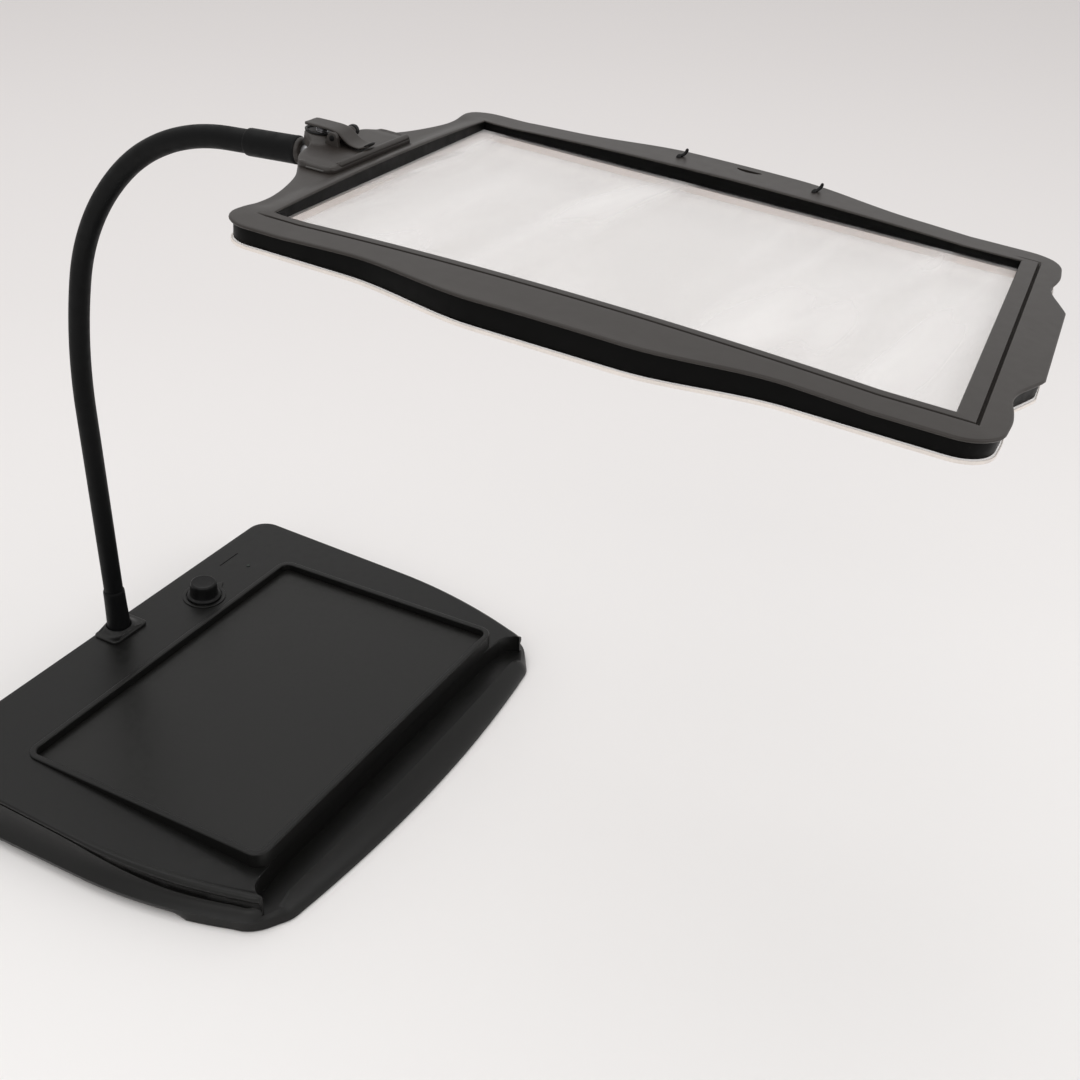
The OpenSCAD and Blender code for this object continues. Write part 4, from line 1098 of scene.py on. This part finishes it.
# --- socket on the deck that the gooseneck stands in ---
socket = plate(rounded(-17.5, 106.5, 13.5, 126.5, 4, 8), [arc(-2, 117.5, 7.75, 0, 360, 48)[:-1]], lambda x,
               y: 32.6 + 2.6 * math.exp(-((max(0.0, math.hypot(x + 2, y - 117.5) - 8.4)) / 2.4) ** 2),
               29.0, 0.9, 0.1, step=1.6)
make("socket_plate", socket, M["base_black"], "base", None, ["socket_pad"], 44)

# --- floor, light and camera ---
def stage_floor():
    mesh = bpy.data.meshes.new("floor")
    bm = bmesh.new()
    bmesh.ops.create_grid(bm, x_segments=8, y_segments=8, size=14.0)
    bm.to_mesh(mesh)
    bm.free()
    obj = bpy.data.objects.new("floor", mesh)
    scene.collection.objects.link(obj)
    m = surface("floor_paper", (0.8, 0.785, 0.778), tone=0.006, rough=0.8, bump=0.0, patch=0.6, spec=0.1)
    n, link = m.node_tree.nodes, m.node_tree.links.new
    coord = next(x for x in n if x.bl_idname == "ShaderNodeTexCoord")
    # painted light falloff: the floor colour runs lighter near the camera and darker away from it
    painted_falloff_axis = n.new("ShaderNodeVectorMath")
    painted_falloff_axis.operation = "DOT_PRODUCT"
    painted_falloff_axis.inputs[1].default_value = (0.884, 0.467, 0)
    link(coord.outputs["Object"], painted_falloff_axis.inputs[0])
    ramp = n.new("ShaderNodeValToRGB")
    spread = n.new("ShaderNodeMapRange")
    spread.inputs["From Min"].default_value, spread.inputs["From Max"].default_value = -0.3, 1.9
    link(painted_falloff_axis.outputs["Value"], spread.inputs["Value"])
    link(spread.outputs["Result"], ramp.inputs["Fac"])
    stops = ramp.color_ramp.elements
    stops[0].position, stops[0].color = 0.0, (0.885, 0.875, 0.87, 1)
    stops[1].position, stops[1].color = 1.0, (0.78, 0.755, 0.75, 1)
    painted_falloff_mid = stops.new(0.45)
    painted_falloff_mid.color = (0.80, 0.78, 0.775, 1)
    link(ramp.outputs["Color"], n["Principled BSDF"].inputs["Base Color"])
    mesh.materials.append(m)
    return obj


def area_light(name, where, look_at, size, power, colour=(1, 1, 1), size_y=None):
    data = bpy.data.lights.new(name, "AREA")
    data.shape = "RECTANGLE"
    data.size, data.size_y = size, size_y or size
    data.energy = power
    data.color = colour
    obj = bpy.data.objects.new(name, data)
    obj.location = where
    obj.rotation_euler = (Vector(look_at) - Vector(where)).to_track_quat("-Z", "Y").to_euler()
    scene.collection.objects.link(obj)
    return obj


stage_floor()
world_light = bpy.data.worlds.new("studio")
world_light.use_nodes = True
scene.world = world_light
world_light.node_tree.nodes["Background"].inputs["Color"].default_value = (1.0, 0.985, 0.975, 1)
world_light.node_tree.nodes["Background"].inputs["Strength"].default_value = 0.72
area_light("soft_left", (-2.2, -0.6, 2.2), (0, 0, 0.1), 2.0, 15, (1, 0.98, 0.96))
area_light("soft_front", (0.4, -2.4, 1.8), (0, 0, 0.05), 1.8, 12)
area_light("soft_top", (0.3, 0.6, 2.6), (0, 0, 0), 2.4, 16)
scene.view_settings.view_transform = "Standard"

right = Vector((0.48037, -0.87669, 0.02583)).normalized()
upward = Vector((0.44444, 0.26870, 0.85456)).normalized()
back = right.cross(upward)
lens_camera = bpy.data.cameras.new("camera")
lens_camera.lens, lens_camera.sensor_width = 47.76, 36.0
lens_camera.clip_start, lens_camera.clip_end = 0.01, 60
camera = bpy.data.objects.new("camera", lens_camera)
camera.matrix_world = Matrix.Translation((-0.55918, -0.48889, 0.58039)) @ Matrix((right, upward,
        back)).transposed().to_4x4()
scene.collection.objects.link(camera)
scene.camera = camera
